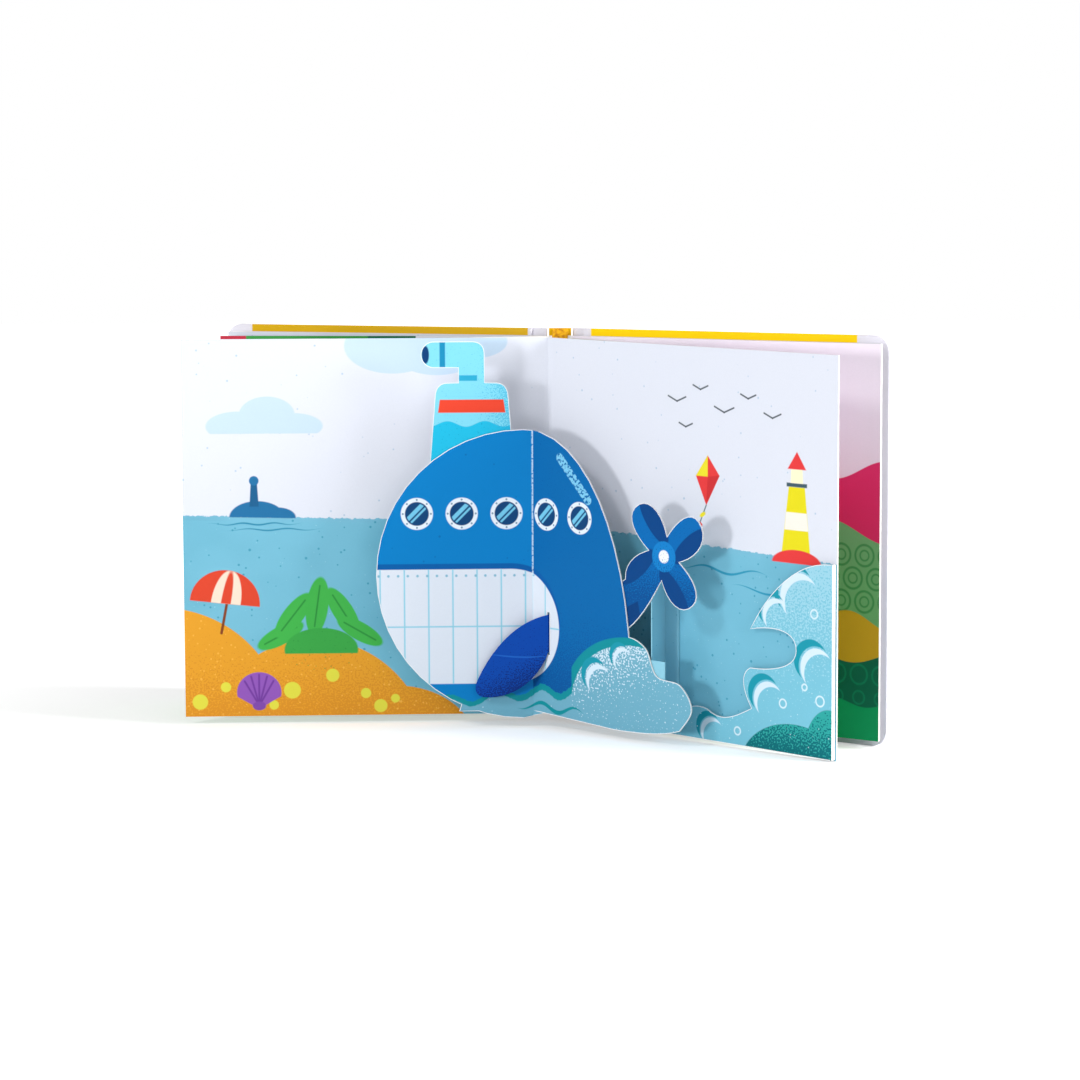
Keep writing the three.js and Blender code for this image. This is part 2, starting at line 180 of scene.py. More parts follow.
def add_node(tree: bpy.types.NodeTree, kind: str, inputs: Union[dict, Sequence] = (),
             **settings: object) -> bpy.types.bpy_prop_collection:
    """Adds one shader node with its settings, values and links.

    Args:
        tree: node tree that takes the node.
        kind: node type name, such as "ShaderNodeMath".
        inputs: a value, or a socket to link from, for each input in order or by its name.
        settings: the node's own settings, such as its operation.

    Returns:
        The node's output sockets.
    """
    node = tree.nodes.new(kind)
    for name, setting in settings.items():
        setattr(node, name, setting)
    entries = inputs if isinstance(inputs, dict) else dict(enumerate(inputs))
    for key, value in entries.items():
        if isinstance(value, bpy.types.NodeSocket):
            tree.links.new(value, node.inputs[key])
        else:
            node.inputs[key].default_value = value
    return node.outputs


@dataclass(frozen=True)
class Stock:
    """The paper or card under a print.

    Real paper fibres are far finer than a pixel of the render, so the grain is drawn about
    a millimetre wide and very faint: it keeps large plain fields from looking like plastic.

    Args:
        name: material name.
        roughness: surface roughness of the printed face.
        grain: size of the paper grain in millimetres, coarser than real.
        relief: height of the grain bump in millimetres.
        coat: weight of a clear film over the print.
        gloss: strength of the surface reflection.
        shades: darkest and brightest share of the ink's colour that the grain gives.
        detail: number of finer layers in the grain.
        bump: strength of the grain bump.
        coat_roughness: roughness of the clear film.
    """

    name: str
    roughness: float = 0.72
    grain: float = 0.9
    relief: float = 0.012
    coat: float = 0.0
    gloss: float = 0.2
    shades: Point = (0.975, 1.02)
    detail: float = 3.0
    bump: float = 0.35
    coat_roughness: float = 0.25

    def named(self, name: str) -> "Stock":
        """Returns the same stock under a longer name."""
        return replace(self, name=f"{self.name}_{name}")


# Matt coated art card of the pages: a fine grain and hardly any shine
PAGE_STOCK = Stock("matt_art_card", roughness=0.7)
# Art card with a satin seal over the strong inks of the pop-up: a soft, wide sheen
POPUP_STOCK = Stock("satin_art_card", roughness=0.5, gloss=0.1)
# Printed paper under a satin film: smoother than the card, with a faint clear layer
WRAP_STOCK = Stock("film_laminated_wrap_paper", roughness=0.4, grain=1.4, relief=0.008,
                   coat=0.02, gloss=0.1)
# Unprinted board of the leaves' cut edges and roots: dull and slightly warm
PLAIN_STOCK = Stock("white_card", roughness=0.8)
# Uncoated lining leaf glued inside a cover: as dull as the plain card
LINING_STOCK = Stock("white_lining_card", roughness=0.8)
# Wrap paper folded over itself: the creases catch the light in small facets
FOLD_STOCK = Stock("crumpled_wrap_paper", roughness=0.5, grain=0.8, relief=0.03)


class Print:
    """Flat shapes of ink, laid one over another on a sheet of card."""

    def __init__(self, stock: Stock, ground: str) -> None:
        """Starts a material with one ground colour.

        Args:
            stock: the card and its finish.
            ground: hex colour of the ground.
        """
        self.stock = stock
        self.material = bpy.data.materials.new(stock.name)
        self.material.use_nodes = True
        self.tree = self.material.node_tree
        self.tree.nodes.clear()
        self.object = add_node(self.tree, "ShaderNodeTexCoord")["Object"]
        self.tone: Socket = add_node(self.tree, "ShaderNodeRGB")[0]
        self.tone.default_value = linear(ground)
        self.point: Socket = self.object
        self.x: Socket = self.object
        self.y: Socket = self.object
        self.depth: Socket = self.object

    def lay(self, place: Vector, turn: float, slope: float = 0.0) -> "Print":
        """Lays the print's own axes on a turned sheet.

        Args:
            place: the print's zero point in metres.
            turn: turn of the sheet about the vertical in degrees.
            slope: fall of the sheet's lower edge per millimetre to the right.

        Returns:
            This print.
        """
        angle = math.radians(-turn)
        shift = Matrix.Rotation(angle, 3, "Z") @ Vector(place) / MM
        mapped = add_node(self.tree, MAPPING, {
            "Vector": self.object,
            "Location": tuple(-shift),
            "Rotation": (0.0, 0.0, angle),
            "Scale": (1 / MM, 1 / MM, 1 / MM),
        }, vector_type="POINT")[0]
        x, depth, height = add_node(self.tree, SPLIT, (mapped,))
        y = add_node(self.tree, MATH, (x, slope, height), operation="MULTIPLY_ADD")[0]
        self.set_axes(x, y, depth)
        return self

    def set_axes(self, x: Socket, y: Socket, depth: Socket) -> None:
        """Takes new axes for the shapes that follow.

        Args:
            x: place along the page.
            y: height above its lower edge.
            depth: depth behind its face.
        """
        self.x = x
        self.y = y
        self.depth = depth
        self.point = add_node(self.tree, JOIN, (x, y))[0]

    @contextmanager
    def repeated(self, middle: float, period: float) -> Iterator[None]:
        """Repeats the shapes laid within it along the page.

        Args:
            middle: place of one of the repeats, which becomes X = 0.
            period: distance between two repeats in millimetres.

        Returns:
            A context in which X runs over one period again and again.
        """
        kept = self.x, self.point
        start = add_node(self.tree, MATH, (self.x, middle), operation="SUBTRACT")[0]
        local = add_node(self.tree, MATH, (start, period / 2, -period / 2), operation="WRAP")[0]
        self.set_axes(local, self.y, self.depth)
        yield
        self.x, self.point = kept

    def noise(self, size: float, detail: float = 2.0, stretch: Point = (1.0, 1.0)) -> Socket:
        """Adds soft noise from 0 to 1.

        Args:
            size: size of its grains in millimetres.
            detail: number of finer layers.
            stretch: how much narrower the grains are along X and along Y.

        Returns:
            The noise.
        """
        scaled = add_node(self.tree, VECTOR_MATH, (self.point, (*stretch, 1.0)),
                          operation="MULTIPLY")[0]
        return add_node(self.tree, NOISE, {
            "Vector": scaled, "Scale": 1 / size, "Detail": detail})["Fac"]

    def fade(self, value: Socket, start: float, end: float) -> Socket:
        """Turns a number into a soft mask.

        Args:
            value: the number.
            start: where the mask is 0.
            end: where it is 1.

        Returns:
            The mask, which stays between 0 and 1.
        """
        return add_node(self.tree, MAP_RANGE, {
            "Value": value, "From Min": start, "From Max": end})[0]

    def edge(self, distance: Socket, soft: float = CRISP) -> Socket:
        """Turns a distance inside a shape into a mask whose edge is SOFT wide on each side."""
        return self.fade(distance, -soft, soft)

    def paint(self, mask: Socket, code: str, strength: float = 1.0) -> "Print":
        """Lays an ink over the print.

        Args:
            mask: where it goes: 1 inside and 0 outside.
            code: its hex colour.
            strength: how much it covers what is under it.

        Returns:
            This print.
        """
        amount = mask
        if strength < 1:
            amount = add_node(self.tree, MATH, (mask, strength), operation="MULTIPLY")[0]
        self.tone = add_node(self.tree, MIX, {
            MIX_FACTOR: amount, MIX_COLOUR_A: self.tone, MIX_COLOUR_B: linear(code),
        }, data_type="RGBA")[MIX_COLOUR_OUT]
        return self

    def both(self, a: Socket, b: Socket) -> Socket:
        """Returns the mask of what two masks share."""
        return add_node(self.tree, MATH, (a, b), operation="MULTIPLY")[0]

    def either(self, *masks: Socket) -> Socket:
        """Joins several masks.

        Args:
            masks: the masks.

        Returns:
            The mask of what lies in any of them.
        """
        whole = masks[0]
        for mask in masks[1:]:
            whole = add_node(self.tree, MATH, (whole, mask), operation="MAXIMUM")[0]
        return whole

    def without(self, a: Socket, b: Socket) -> Socket:
        """Returns the mask of A less B."""
        return self.both(a, add_node(self.tree, MATH, (1.0, b), operation="SUBTRACT")[0])

    def right_of(self, x: float) -> Socket:
        """Returns the mask of all that lies to the right of a place along the page."""
        return add_node(self.tree, MATH, (self.x, x), operation="GREATER_THAN")[0]

    def disc(self, x: float, y: float, rx: float, ry: Optional[float] = None,
             turn: float = 0.0) -> Socket:
        """Draws a disc or oval.

        Args:
            x: centre along the page.
            y: centre above its lower edge.
            rx: half width.
            ry: half height, or None for a round disc.
            turn: turn of the oval in degrees.

        Returns:
            Its mask.
        """
        ry = rx if ry is None else ry
        angle = math.radians(-turn)
        centre = Matrix.Rotation(angle, 3, "Z") @ Vector((x, y, 0.0))
        point = self.point
        if turn:
            point = add_node(self.tree, MAPPING, {
                "Vector": point, "Rotation": (0.0, 0.0, angle)})[0]
        local = add_node(self.tree, MAPPING, {
            "Vector": point,
            "Location": (-centre.x / rx, -centre.y / ry, 0.0),
            "Scale": (1 / rx, 1 / ry, 1.0),
        })[0]
        reach = add_node(self.tree, VECTOR_MATH, (local,), operation="LENGTH")["Value"]
        share = add_node(self.tree, MATH, (1.0, reach), operation="SUBTRACT")[0]
        inside = add_node(self.tree, MATH, (share, min(rx, ry)), operation="MULTIPLY")[0]
        return self.edge(inside)

    def ring(self, x: float, y: float, radius: float, width: float) -> Socket:
        """Returns the mask of a ring of the given middle radius and width."""
        return self.without(self.disc(x, y, radius + width / 2),
                            self.disc(x, y, radius - width / 2))

    def studs(self, x: float, y: float, radius: float, count: int, size: float) -> Socket:
        """Draws small dots that stand evenly round a circle.

        Args:
            x: centre of the circle along the page.
            y: its centre above the lower edge.
            radius: its radius.
            count: number of dots.
            size: radius of a dot.

        Returns:
            Their mask.
        """
        local = add_node(self.tree, VECTOR_MATH, (self.point, (x, y, 0.0)),
                         operation="SUBTRACT")[0]
        right, up, _ = add_node(self.tree, SPLIT, (local,))
        angle = add_node(self.tree, MATH, (up, right), operation="ARCTAN2")[0]
        sector = math.pi / count
        swing = add_node(self.tree, MATH, (angle, sector, -sector), operation="WRAP")[0]
        away = add_node(self.tree, VECTOR_MATH, (local,), operation="LENGTH")["Value"]
        across = add_node(self.tree, MATH, (swing, radius), operation="MULTIPLY")[0]
        out = add_node(self.tree, MATH, (away, radius), operation="SUBTRACT")[0]
        place = add_node(self.tree, JOIN, (across, out))[0]
        gap = add_node(self.tree, VECTOR_MATH, (place,), operation="LENGTH")["Value"]
        inside = add_node(self.tree, MATH, (size, gap), operation="SUBTRACT")[0]
        return self.edge(inside, DOT_CRISP)

    def stroke(self, start: Point, end: Point, width: float) -> Socket:
        """Draws a straight stroke with round ends.

        Args:
            start: where its middle line starts.
            end: where it ends.
            width: its width.

        Returns:
            Its mask.
        """
        run = Vector((end[0] - start[0], end[1] - start[1], 0.0))
        local = add_node(self.tree, VECTOR_MATH, (self.point, (*start, 0.0)),
                         operation="SUBTRACT")[0]
        along = add_node(self.tree, VECTOR_MATH, (local, tuple(run / run.length_squared)),
                         operation="DOT_PRODUCT")["Value"]
        share = add_node(self.tree, "ShaderNodeClamp", (along,))[0]
        foot = add_node(self.tree, VECTOR_MATH, {0: tuple(run), "Scale": share},
                        operation="SCALE")[0]
        gap = add_node(self.tree, VECTOR_MATH, (local, foot), operation="DISTANCE")["Value"]
        inside = add_node(self.tree, MATH, (width / 2, gap), operation="SUBTRACT")[0]
        return self.edge(inside)

    def polygon(self, points: Sequence[Point]) -> Socket:
        """Draws a convex outline.

        Args:
            points: its corners, anticlockwise.

        Returns:
            Its mask.
        """
        nearest: Optional[Socket] = None
        for (x0, y0), (x1, y1) in zip(points, list(points[1:]) + [points[0]]):
            normal = Vector((y0 - y1, x1 - x0, 0.0)).normalized()
            reach = add_node(self.tree, VECTOR_MATH, (self.point, tuple(normal)),
                             operation="DOT_PRODUCT")["Value"]
            start = normal.x * x0 + normal.y * y0
            inside = add_node(self.tree, MATH, (reach, start), operation="SUBTRACT")[0]
            if nearest is not None:
                inside = add_node(self.tree, MATH, (nearest, inside), operation="MINIMUM")[0]
            nearest = inside
        return self.edge(nearest)

    def rectangle(self, x0: float, y0: float, x1: float, y1: float) -> Socket:
        """Returns the mask of the upright rectangle between two corners."""
        return self.polygon(((x0, y0), (x1, y0), (x1, y1), (x0, y1)))

    def wavy(self, height: Union[float, Socket], wave: float, length: float) -> Socket:
        """Adds waves to the height of a line.

        Args:
            height: the height without its waves.
            wave: height of the waves.
            length: length of the waves.

        Returns:
            The height with them.
        """
        turn = add_node(self.tree, MATH, (self.x, 2 * math.pi / length), operation="MULTIPLY")[0]
        swing = add_node(self.tree, MATH, (turn,), operation="SINE")[0]
        return add_node(self.tree, MATH, (swing, wave, height), operation="MULTIPLY_ADD")[0]

    def below(self, height: float, slope: float = 0.0, wave: float = 0.0, length: float = 30.0,
              rough: float = 0.0) -> Socket:
        """Draws all that lies under a line.

        Args:
            height: height of the line at X = 0.
            slope: rise of the line per millimetre.
            wave: height of its waves.
            length: length of its waves.
            rough: height of its fine rough edge, drawn coarser than real ink gives it.

        Returns:
            Its mask.
        """
        line = add_node(self.tree, MATH, (self.x, slope, height), operation="MULTIPLY_ADD")[0]
        if wave:
            line = self.wavy(line, wave, length)
        if rough:
            jag = add_node(self.tree, MATH, (self.noise(2.4), 0.5), operation="SUBTRACT")[0]
            line = add_node(self.tree, MATH, (jag, 2 * rough, line),
                            operation="MULTIPLY_ADD")[0]
        inside = add_node(self.tree, MATH, (line, self.y), operation="SUBTRACT")[0]
        return self.edge(inside)

    def swash(self, start: float, end: float, height: float, wave: float, length: float,
              width: float) -> Socket:
        """Draws a thin wavy line that tapers to both ends.

        Args:
            start: where it starts along the page.
            end: where it ends.
            height: its height above the lower edge.
            wave: height of its waves.
            length: length of its waves.
            width: its width in the middle.

        Returns:
            Its mask.
        """
        line = self.wavy(height, wave, length)
        rise = add_node(self.tree, MATH, (self.y, line), operation="SUBTRACT")[0]
        off = add_node(self.tree, MATH, (rise,), operation="ABSOLUTE")[0]
        run = add_node(self.tree, MATH, (self.x, (start + end) / 2), operation="SUBTRACT")[0]
        away = add_node(self.tree, MATH, (run,), operation="ABSOLUTE")[0]
        reach = add_node(self.tree, MATH, (away, (end - start) / 2), operation="DIVIDE")[0]
        squared = add_node(self.tree, MATH, (reach, 2.0), operation="POWER")[0]
        taper = add_node(self.tree, MATH, (1.0, squared), operation="SUBTRACT")[0]
        half = add_node(self.tree, MATH, (taper, width / 2), operation="MULTIPLY")[0]
        inside = add_node(self.tree, MATH, (half, off), operation="SUBTRACT")[0]
        return self.edge(inside, LINE_CRISP)

    def slanted(self, rise: float) -> Socket:
        """Returns the height of a point with RISE added for each millimetre to the right."""
        return add_node(self.tree, MATH, (self.x, rise, self.y), operation="MULTIPLY_ADD")[0]

    def specks(self, size: float, amount: float) -> Socket:
        """Scatters specks, drawn coarser than a real spray of ink so that they show.

        Args:
            size: mean distance between specks in millimetres.
            amount: radius of the largest speck as a share of that distance.

        Returns:
            Their mask.
        """
        gap = add_node(self.tree, "ShaderNodeTexVoronoi", {
            "Vector": self.point, "Scale": 1 / size}, feature="F1")["Distance"]
        radius = add_node(self.tree, MATH, (self.noise(size * 4.0), amount),
                          operation="MULTIPLY")[0]
        inside = add_node(self.tree, MATH, (radius, gap), operation="SUBTRACT")[0]
        return self.edge(inside, GRAIN_CRISP)

    def stipple(self, amount: Socket, size: float = 0.7) -> Socket:
        """Turns a soft mask into dots of ink, drawn coarser than real ones so that they show.

        Args:
            amount: the soft mask. Its dots stand denser where it is stronger.
            size: size of the dots in millimetres.

        Returns:
            Their mask.
        """
        level = add_node(self.tree, MATH, (amount, 0.5, 0.24), operation="MULTIPLY_ADD")[0]
        inside = add_node(self.tree, MATH, (level, self.noise(size, 0.0)),
                          operation="SUBTRACT")[0]
        return self.edge(inside, GRAIN_CRISP)

    def wear_and_light_patches(self, size: float, level: float, soft: float, detail: float = 3.0) -> Socket:
        """Breaks ink up as dry brushwork or a rubbed crease does, and lays patches of painted
        highlight and painted shade.

        Args:
            size: size of the inked places in millimetres.
            level: height of the noise that stays bare.
            soft: softness of their edges, in the same height.
            detail: number of finer layers.

        Returns:
            The mask of the inked places.
        """
        noise = self.noise(size, detail)
        return self.edge(add_node(self.tree, MATH, (noise, level), operation="SUBTRACT")[0], soft)

    def crest(self, x: float, y: float, r: float) -> "Print":
        """Prints a curled wave: a teal crescent with a white one under it.

        Args:
            x: centre along the page.
            y: centre above its lower edge.
            r: radius.

        Returns:
            This print.
        """
        teal = self.without(self.disc(x, y, r), self.disc(x + 0.3 * r, y - 0.3 * r, r))
        white = self.without(self.disc(x + 0.34 * r, y - 0.34 * r, 0.95 * r),
                             self.disc(x + 0.6 * r, y - 0.62 * r, 0.98 * r))
        return self.paint(teal, "1a94a8").paint(white, "d3e6f3")

    def finish(self, white_behind: Optional[float] = None) -> bpy.types.Material:
        """Closes the material with the paper's grain and gloss.

        Args:
            white_behind: depth in millimetres past which the card is unprinted, or None.

        Returns:
            The finished material.
        """
        if white_behind is not None:
            inside = add_node(self.tree, MATH, (self.depth, white_behind),
                              operation="SUBTRACT")[0]
            self.paint(self.edge(inside, CORE_CRISP), CORE_WHITE)
        stock = self.stock
        fibre = add_node(self.tree, NOISE, {
            "Vector": self.object, "Scale": 1 / (stock.grain * MM), "Detail": stock.detail})["Fac"]
        darkest, brightest = stock.shades
        shade = add_node(self.tree, MAP_RANGE, {
            "Value": fibre, "To Min": darkest, "To Max": brightest})[0]
        tint = add_node(self.tree, VECTOR_MATH, {0: self.tone, "Scale": shade},
                        operation="SCALE")[0]
        bump = add_node(self.tree, "ShaderNodeBump", {
            "Height": fibre, "Strength": stock.bump, "Distance": stock.relief * MM})[0]
        surface = add_node(self.tree, "ShaderNodeBsdfPrincipled", {
            "Base Color": tint,
            "Roughness": stock.roughness,
            "Normal": bump,
            "Specular IOR Level": stock.gloss,
            "Coat Weight": stock.coat,
            "Coat Roughness": stock.coat_roughness,
        })[0]
        add_node(self.tree, "ShaderNodeOutputMaterial", {"Surface": surface})
        return self.material


@dataclass
class Scenery:
    """The seaside pictures that are printed on the leaves.

    Args:
        p: the print that takes a picture.
        horizon: height of the horizon at the gutter of the open pages.
        slope: its rise per millimetre to the right.
        calm_horizon: height of the level horizon on the leaves that hardly open.
    """

    p: Print
    horizon: float = 105.0
    slope: float = -0.025
    calm_horizon: float = 92.0

    def shore_left(self) -> None:
        """Prints the open left page: sky, sea and a sandy shore with things on it."""
        p = self.p
        self.sky_and_sea(self.horizon, self.slope)
        for x, y, rx, ry in ((-60, 196, 22, 11), (-84, 201, 26, 15), (-40, 203, 18, 9)):
            p.paint(p.disc(x, y, rx, ry), CLOUD_BLUE)
        cloud = p.either(p.disc(-168, 158, 17, 8), p.disc(-152, 164, 15, 10),
                         p.disc(-138, 158, 16, 7))
        p.paint(p.without(cloud, p.below(154.0)), CLOUD_BLUE)
        self.island(-158.0, 108.5)
        sand = p.either(p.disc(-212, -2, 66, 62), p.disc(-128, -22, 62, 64),
                        p.disc(-84, -18, 44, 34))
        p.paint(sand, "e09c28")
        p.paint(p.both(sand, p.stipple(p.fade(p.y, 40.0, -10.0), 1.0)), "cf8420", 0.6)
        p.paint(p.both(sand, p.specks(3.2, 0.3)), "f0b64a", 0.7)
        for x, y, r in ((-190, 8, 4.2), (-176, 16, 2.8), (-118, 22, 3.6), (-100, 12, 2.8),
                        (-92, 5, 3.6), (-84, 9, 2.4), (-140, 14, 4.6), (-150, 6, 2.6)):
            p.paint(p.disc(x, y, r), "dcd845")
        self.parasol(-178.0, 60.0, 19.0)
        self.bush(-122.0, 38.0)
        self.shell(-158.0, 13.0, 12.0)

    def shore_right(self) -> None:
        """Prints the open right page: sky and sea with a lighthouse, a kite and gulls."""
        p = self.p
        self.sky_and_sea(self.horizon, self.slope)
        p.paint(p.swash(96, 152, 90.0, 1.6, 34.0, 1.3), LINE_BLUE)
        p.paint(p.swash(132, 190, 82.0, 1.6, 41.0, 1.2), LINE_BLUE)
        self.lighthouse(172.0, 101.0)
        self.kite(112.0, 136.0)
        for x, y, size in ((92, 176, 6), (108, 183, 5), (124, 172, 6.5), (140, 180, 5),
                           (156, 171, 5.5), (98, 163, 4.5)):
            self.gull(x, y, size)

    def reef(self) -> None:
        """Prints the spread behind the open right page: pink hills and ringed bushes."""
        p = self.p
        p.paint(p.below(2 * PAGE_HEIGHT), "f0e8f3")
        p.paint(p.below(140.0, 0.0, 5.0, 62.0), "e0306c")
        p.paint(p.below(108.0, 0.0, 6.0, 74.0), "74b87c")
        for middle, height in ((7.0, 96.0), (14.0, 84.0), (7.0, 72.0)):
            with p.repeated(middle, 14.0):
                outer = p.both(p.below(108.0, 0.0, 6.0, 74.0), p.ring(0, height, 5.5, 1.2))
                p.paint(outer, RING_GREEN)
                p.paint(p.ring(0, height, 2.6, 0.9), RING_GREEN)
        p.paint(p.below(62.0, 0.0, 5.0, 55.0), "dcae28")
        bank = p.below(44.0, 0.0, 4.0, 66.0)
        p.paint(bank, "076e54")
        with p.repeated(4.0, 13.0):
            rings = p.either(p.ring(0, 34, 5.0, 1.1), p.ring(0, 22, 3.4, 1.0))
            p.paint(p.both(bank, rings), "0f8a66")
        p.paint(p.below(19.0, 0.0, 2.0, 40.0), "0aa568")

    def garden(self) -> None:
        """Prints the spread behind the open left page: a meadow under coloured fields."""
        p = self.p
        p.paint(p.below(230.0), "3d9c48")
        p.paint(p.polygon(((-100, -5), (-79, -5), (-79, 215), (-108, 215))), "0f6b4a")
        p.paint(p.rectangle(-79, -5, 10, 215), "e6e8f2")
        p.paint(p.rectangle(-205, 120, -182, 215), "c8324a")
        meadow = p.below(96.0, 0.0, 8.0, 90.0)
        p.paint(meadow, "66b45a")
        p.paint(p.both(meadow, p.specks(6.0, 0.3)), LEMON, 0.8)

    def calm(self) -> None:
        """Prints plain sea and sky for a leaf that hardly opens."""
        self.sky_and_sea(self.calm_horizon, 0.0)

    def sky_and_sea(self, horizon: float, slope: float) -> None:
        """Prints pale sky over a blue sea with soft patches and specks.

        Args:
            horizon: height of the horizon at the gutter.
            slope: its rise per millimetre to the right.
        """
        p = self.p
        p.paint(p.specks(7.5, 0.13), "a4bfd6", 0.8)
        sea = p.below(horizon, slope, rough=1.4)
        p.paint(sea, "76b8d0")
        patches = p.fade(p.noise(46.0, 1.0, (1.0, 1.6)), 0.45, 0.65)
        p.paint(p.both(sea, patches), "65a8c0", 0.7)
        p.paint(p.both(sea, p.below(horizon - 2.5, slope, rough=0.6)), "70b8cf", 0.45)
        p.paint(p.both(sea, p.specks(5.0, 0.22)), FLECK_BLUE, 0.85)
        p.paint(p.both(sea, p.specks(3.6, 0.12)), "a6d2e2", 0.8)

    def island(self, x: float, y: float) -> None:
        """Prints a small dark blue rock with a beacon, far away on the horizon.

        Args:
            x: middle of the rock along the page.
            y: its foot above the lower edge.
        """
        p = self.p
        rock = p.either(p.disc(x, y, 15, 9), p.disc(x + 11, y, 10, 5.5))
        p.paint(p.without(rock, p.below(y - self.slope * x, self.slope)), ROCK_BLUE)
        p.paint(p.polygon(((x - 4, y + 6), (x + 1, y + 6), (x + 0.2, y + 19),
                           (x - 3.2, y + 19))), "175a88")
        p.paint(p.disc(x - 1.5, y + 20, 2.6), ROCK_BLUE)
        p.paint(p.swash(x - 24, x + 22, y - 3.4, 0.5, 17.0, 0.9), RIPPLE_BLUE)
        p.paint(p.swash(x - 14, x + 32, y - 6.5, 0.5, 21.0, 0.8), RIPPLE_BLUE)

    def parasol(self, x: float, y: float, size: float) -> None:
        """Prints a red and pale striped parasol on a pole.

        Args:
            x: middle of the canopy along the page.
            y: its middle above the lower edge.
            size: half width of the canopy.
        """
        p = self.p
        foot = (x, y - size * 0.75)
        p.paint(p.stroke(foot, (x + size * 0.28, y + size * 0.7), 1.5), "7d3b1a")
        lean = -11.0
        canopy = p.both(p.disc(x + 2, y + 2, size, size * 0.95, lean),
                        p.polygon(((x - 2 * size, y + 6), (x + 2 * size, y - 2),
                                   (x + 2 * size, y + 40), (x - 2 * size, y + 40))))
        p.paint(canopy, CANOPY_RED)
        for share, code in ((0.42, "f0dcc8"), (0.14, CANOPY_RED)):
            stripe = p.disc(x + 2.5, y + 2, size * share, size * 0.95, lean)
            p.paint(p.both(canopy, stripe), code)

    def bush(self, x: float, y: float) -> None:
        """Prints a green bush of broad leaves over a low mound.

        Args:
            x: middle along the page.
            y: its foot above the lower edge.
        """
        p = self.p
        leaves = ((-24, 6, 14, 5, 28), (-17, 17, 15, 5.5, 52), (-4, 22, 16, 6, 82),
                  (10, 19, 15, 5.5, 122), (19, 8, 14, 5, 150))
        for dx, dy, rx, ry, turn in leaves:
            p.paint(p.disc(x + dx, y + dy, rx, ry, turn), "3fae49")
            across = rx * 0.7 * math.cos(math.radians(turn))
            up = rx * 0.7 * math.sin(math.radians(turn))
            root = (x + dx - across, y + dy - up)
            tip = (x + dx + across, y + dy + up)
            p.paint(p.stroke(root, tip, 0.9), BUSH_DARK)
        mound = p.disc(x - 2, y - 2, 20, 12)
        p.paint(p.without(mound, p.below(y - 4)), "37a044")
        p.paint(p.both(mound, p.specks(2.2, 0.3)), BUSH_DARK, 0.6)

    def shell(self, x: float, y: float, size: float) -> None:
        """Prints a purple fan shell with dark ribs.

        Args:
            x: middle along the page.
            y: its middle above the lower edge.
            size: half width.
        """
        p = self.p
        wedge = ((x, y - size * 0.75), (x + 2 * size, y + size * 0.4), (x + size, y + 2 * size),
                 (x - size, y + 2 * size), (x - 2 * size, y + size * 0.4))
        fan = p.both(p.disc(x, y, size, size * 0.92), p.polygon(wedge))
        p.paint(fan, "8d55b5")
        for turn in (-50, -25, 0, 25, 50):
            angle = math.radians(90 + turn)
            tip = (x + size * 0.85 * math.cos(angle), y + size * 0.8 * math.sin(angle))
            p.paint(p.both(fan, p.stroke((x, y - size * 0.6), tip, 1.0)), "6d3a98")
        p.paint(p.disc(x, y - size * 0.62, size * 0.3, size * 0.2), "7a46a6")

    def lighthouse(self, x: float, y: float) -> None:
        """Prints a yellow lighthouse with a red foot and roof, standing on the horizon.

        Args:
            x: middle along the page.
            y: its foot above the lower edge.
        """
        p = self.p
        p.paint(p.polygon(((x - 10, y), (x + 9, y), (x + 5.2, y + 36), (x - 5.2, y + 36))),
                "e3d716")
        p.paint(p.polygon(((x - 7.9, y + 14), (x + 7.4, y + 14), (x + 6.4, y + 23),
                           (x - 6.9, y + 23))), "f2ece0")
        p.paint(p.rectangle(x - 6.6, y + 36, x + 6.6, y + 38), "3d5560")
        p.paint(p.polygon(((x - 4, y + 38), (x + 4, y + 38), (x + 3.6, y + 45),
                           (x - 3.6, y + 45))), "f6f0c8")
        p.paint(p.polygon(((x - 6, y + 45), (x + 6, y + 45), (x, y + 54))), SIGNAL_RED)
        p.paint(p.without(p.disc(x, y - 3, 16, 7), p.below(y - 3)), SIGNAL_RED)

    def kite(self, x: float, y: float) -> None:
        """Prints a small red kite with a yellow corner and a tail.

        Args:
            x: middle along the page.
            y: its middle above the lower edge.
        """
        p = self.p
        foot, right, top = (x, y - 13), (x + 9, y + 3), (x + 1, y + 13)
        left, cross = (x - 7, y + 2), (x + 1, y + 2)
        p.paint(p.polygon((foot, right, top, left)), SIGNAL_RED)
        p.paint(p.polygon((foot, right, cross)), "c92e32")
        p.paint(p.polygon((left, cross, top)), LEMON)
        p.paint(p.stroke(foot, (x - 5, y - 24), 0.7), "4f6a74")
        p.paint(p.disc(x - 2.4, y - 18, 2.2, 1.1, 30), LEMON)
        p.paint(p.disc(x - 4.6, y - 23, 2.2, 1.1, -20), SIGNAL_RED)

    def gull(self, x: float, y: float, size: float) -> None:
        """Prints a far gull as two short dark strokes.

        Args:
            x: middle along the page.
            y: its middle above the lower edge.
            size: reach of one wing.
        """
        for wing in (-size, size):
            tip = (x + wing, y + size * 0.42)
            self.p.paint(self.p.stroke((x, y), tip, 0.8), GULL_GREY)


class Motif(Enum):
    """What is printed on a face of a leaf."""

    SHORE_LEFT = "shore_left"
    SHORE_RIGHT = "shore_right"
    REEF = "reef"
    GARDEN = "garden"
    CALM = "calm"


MOTIFS: dict[Motif, Callable[[Scenery], None]] = {
    Motif.SHORE_LEFT: Scenery.shore_left,
    Motif.SHORE_RIGHT: Scenery.shore_right,
    Motif.REEF: Scenery.reef,
    Motif.GARDEN: Scenery.garden,
    Motif.CALM: Scenery.calm,
}


def deselect() -> None:
    """Leaves edit mode and deselects everything."""
    if bpy.context.object and bpy.context.object.mode != "OBJECT":
        bpy.ops.object.mode_set(mode="OBJECT")
    bpy.ops.object.select_all(action="DESELECT")


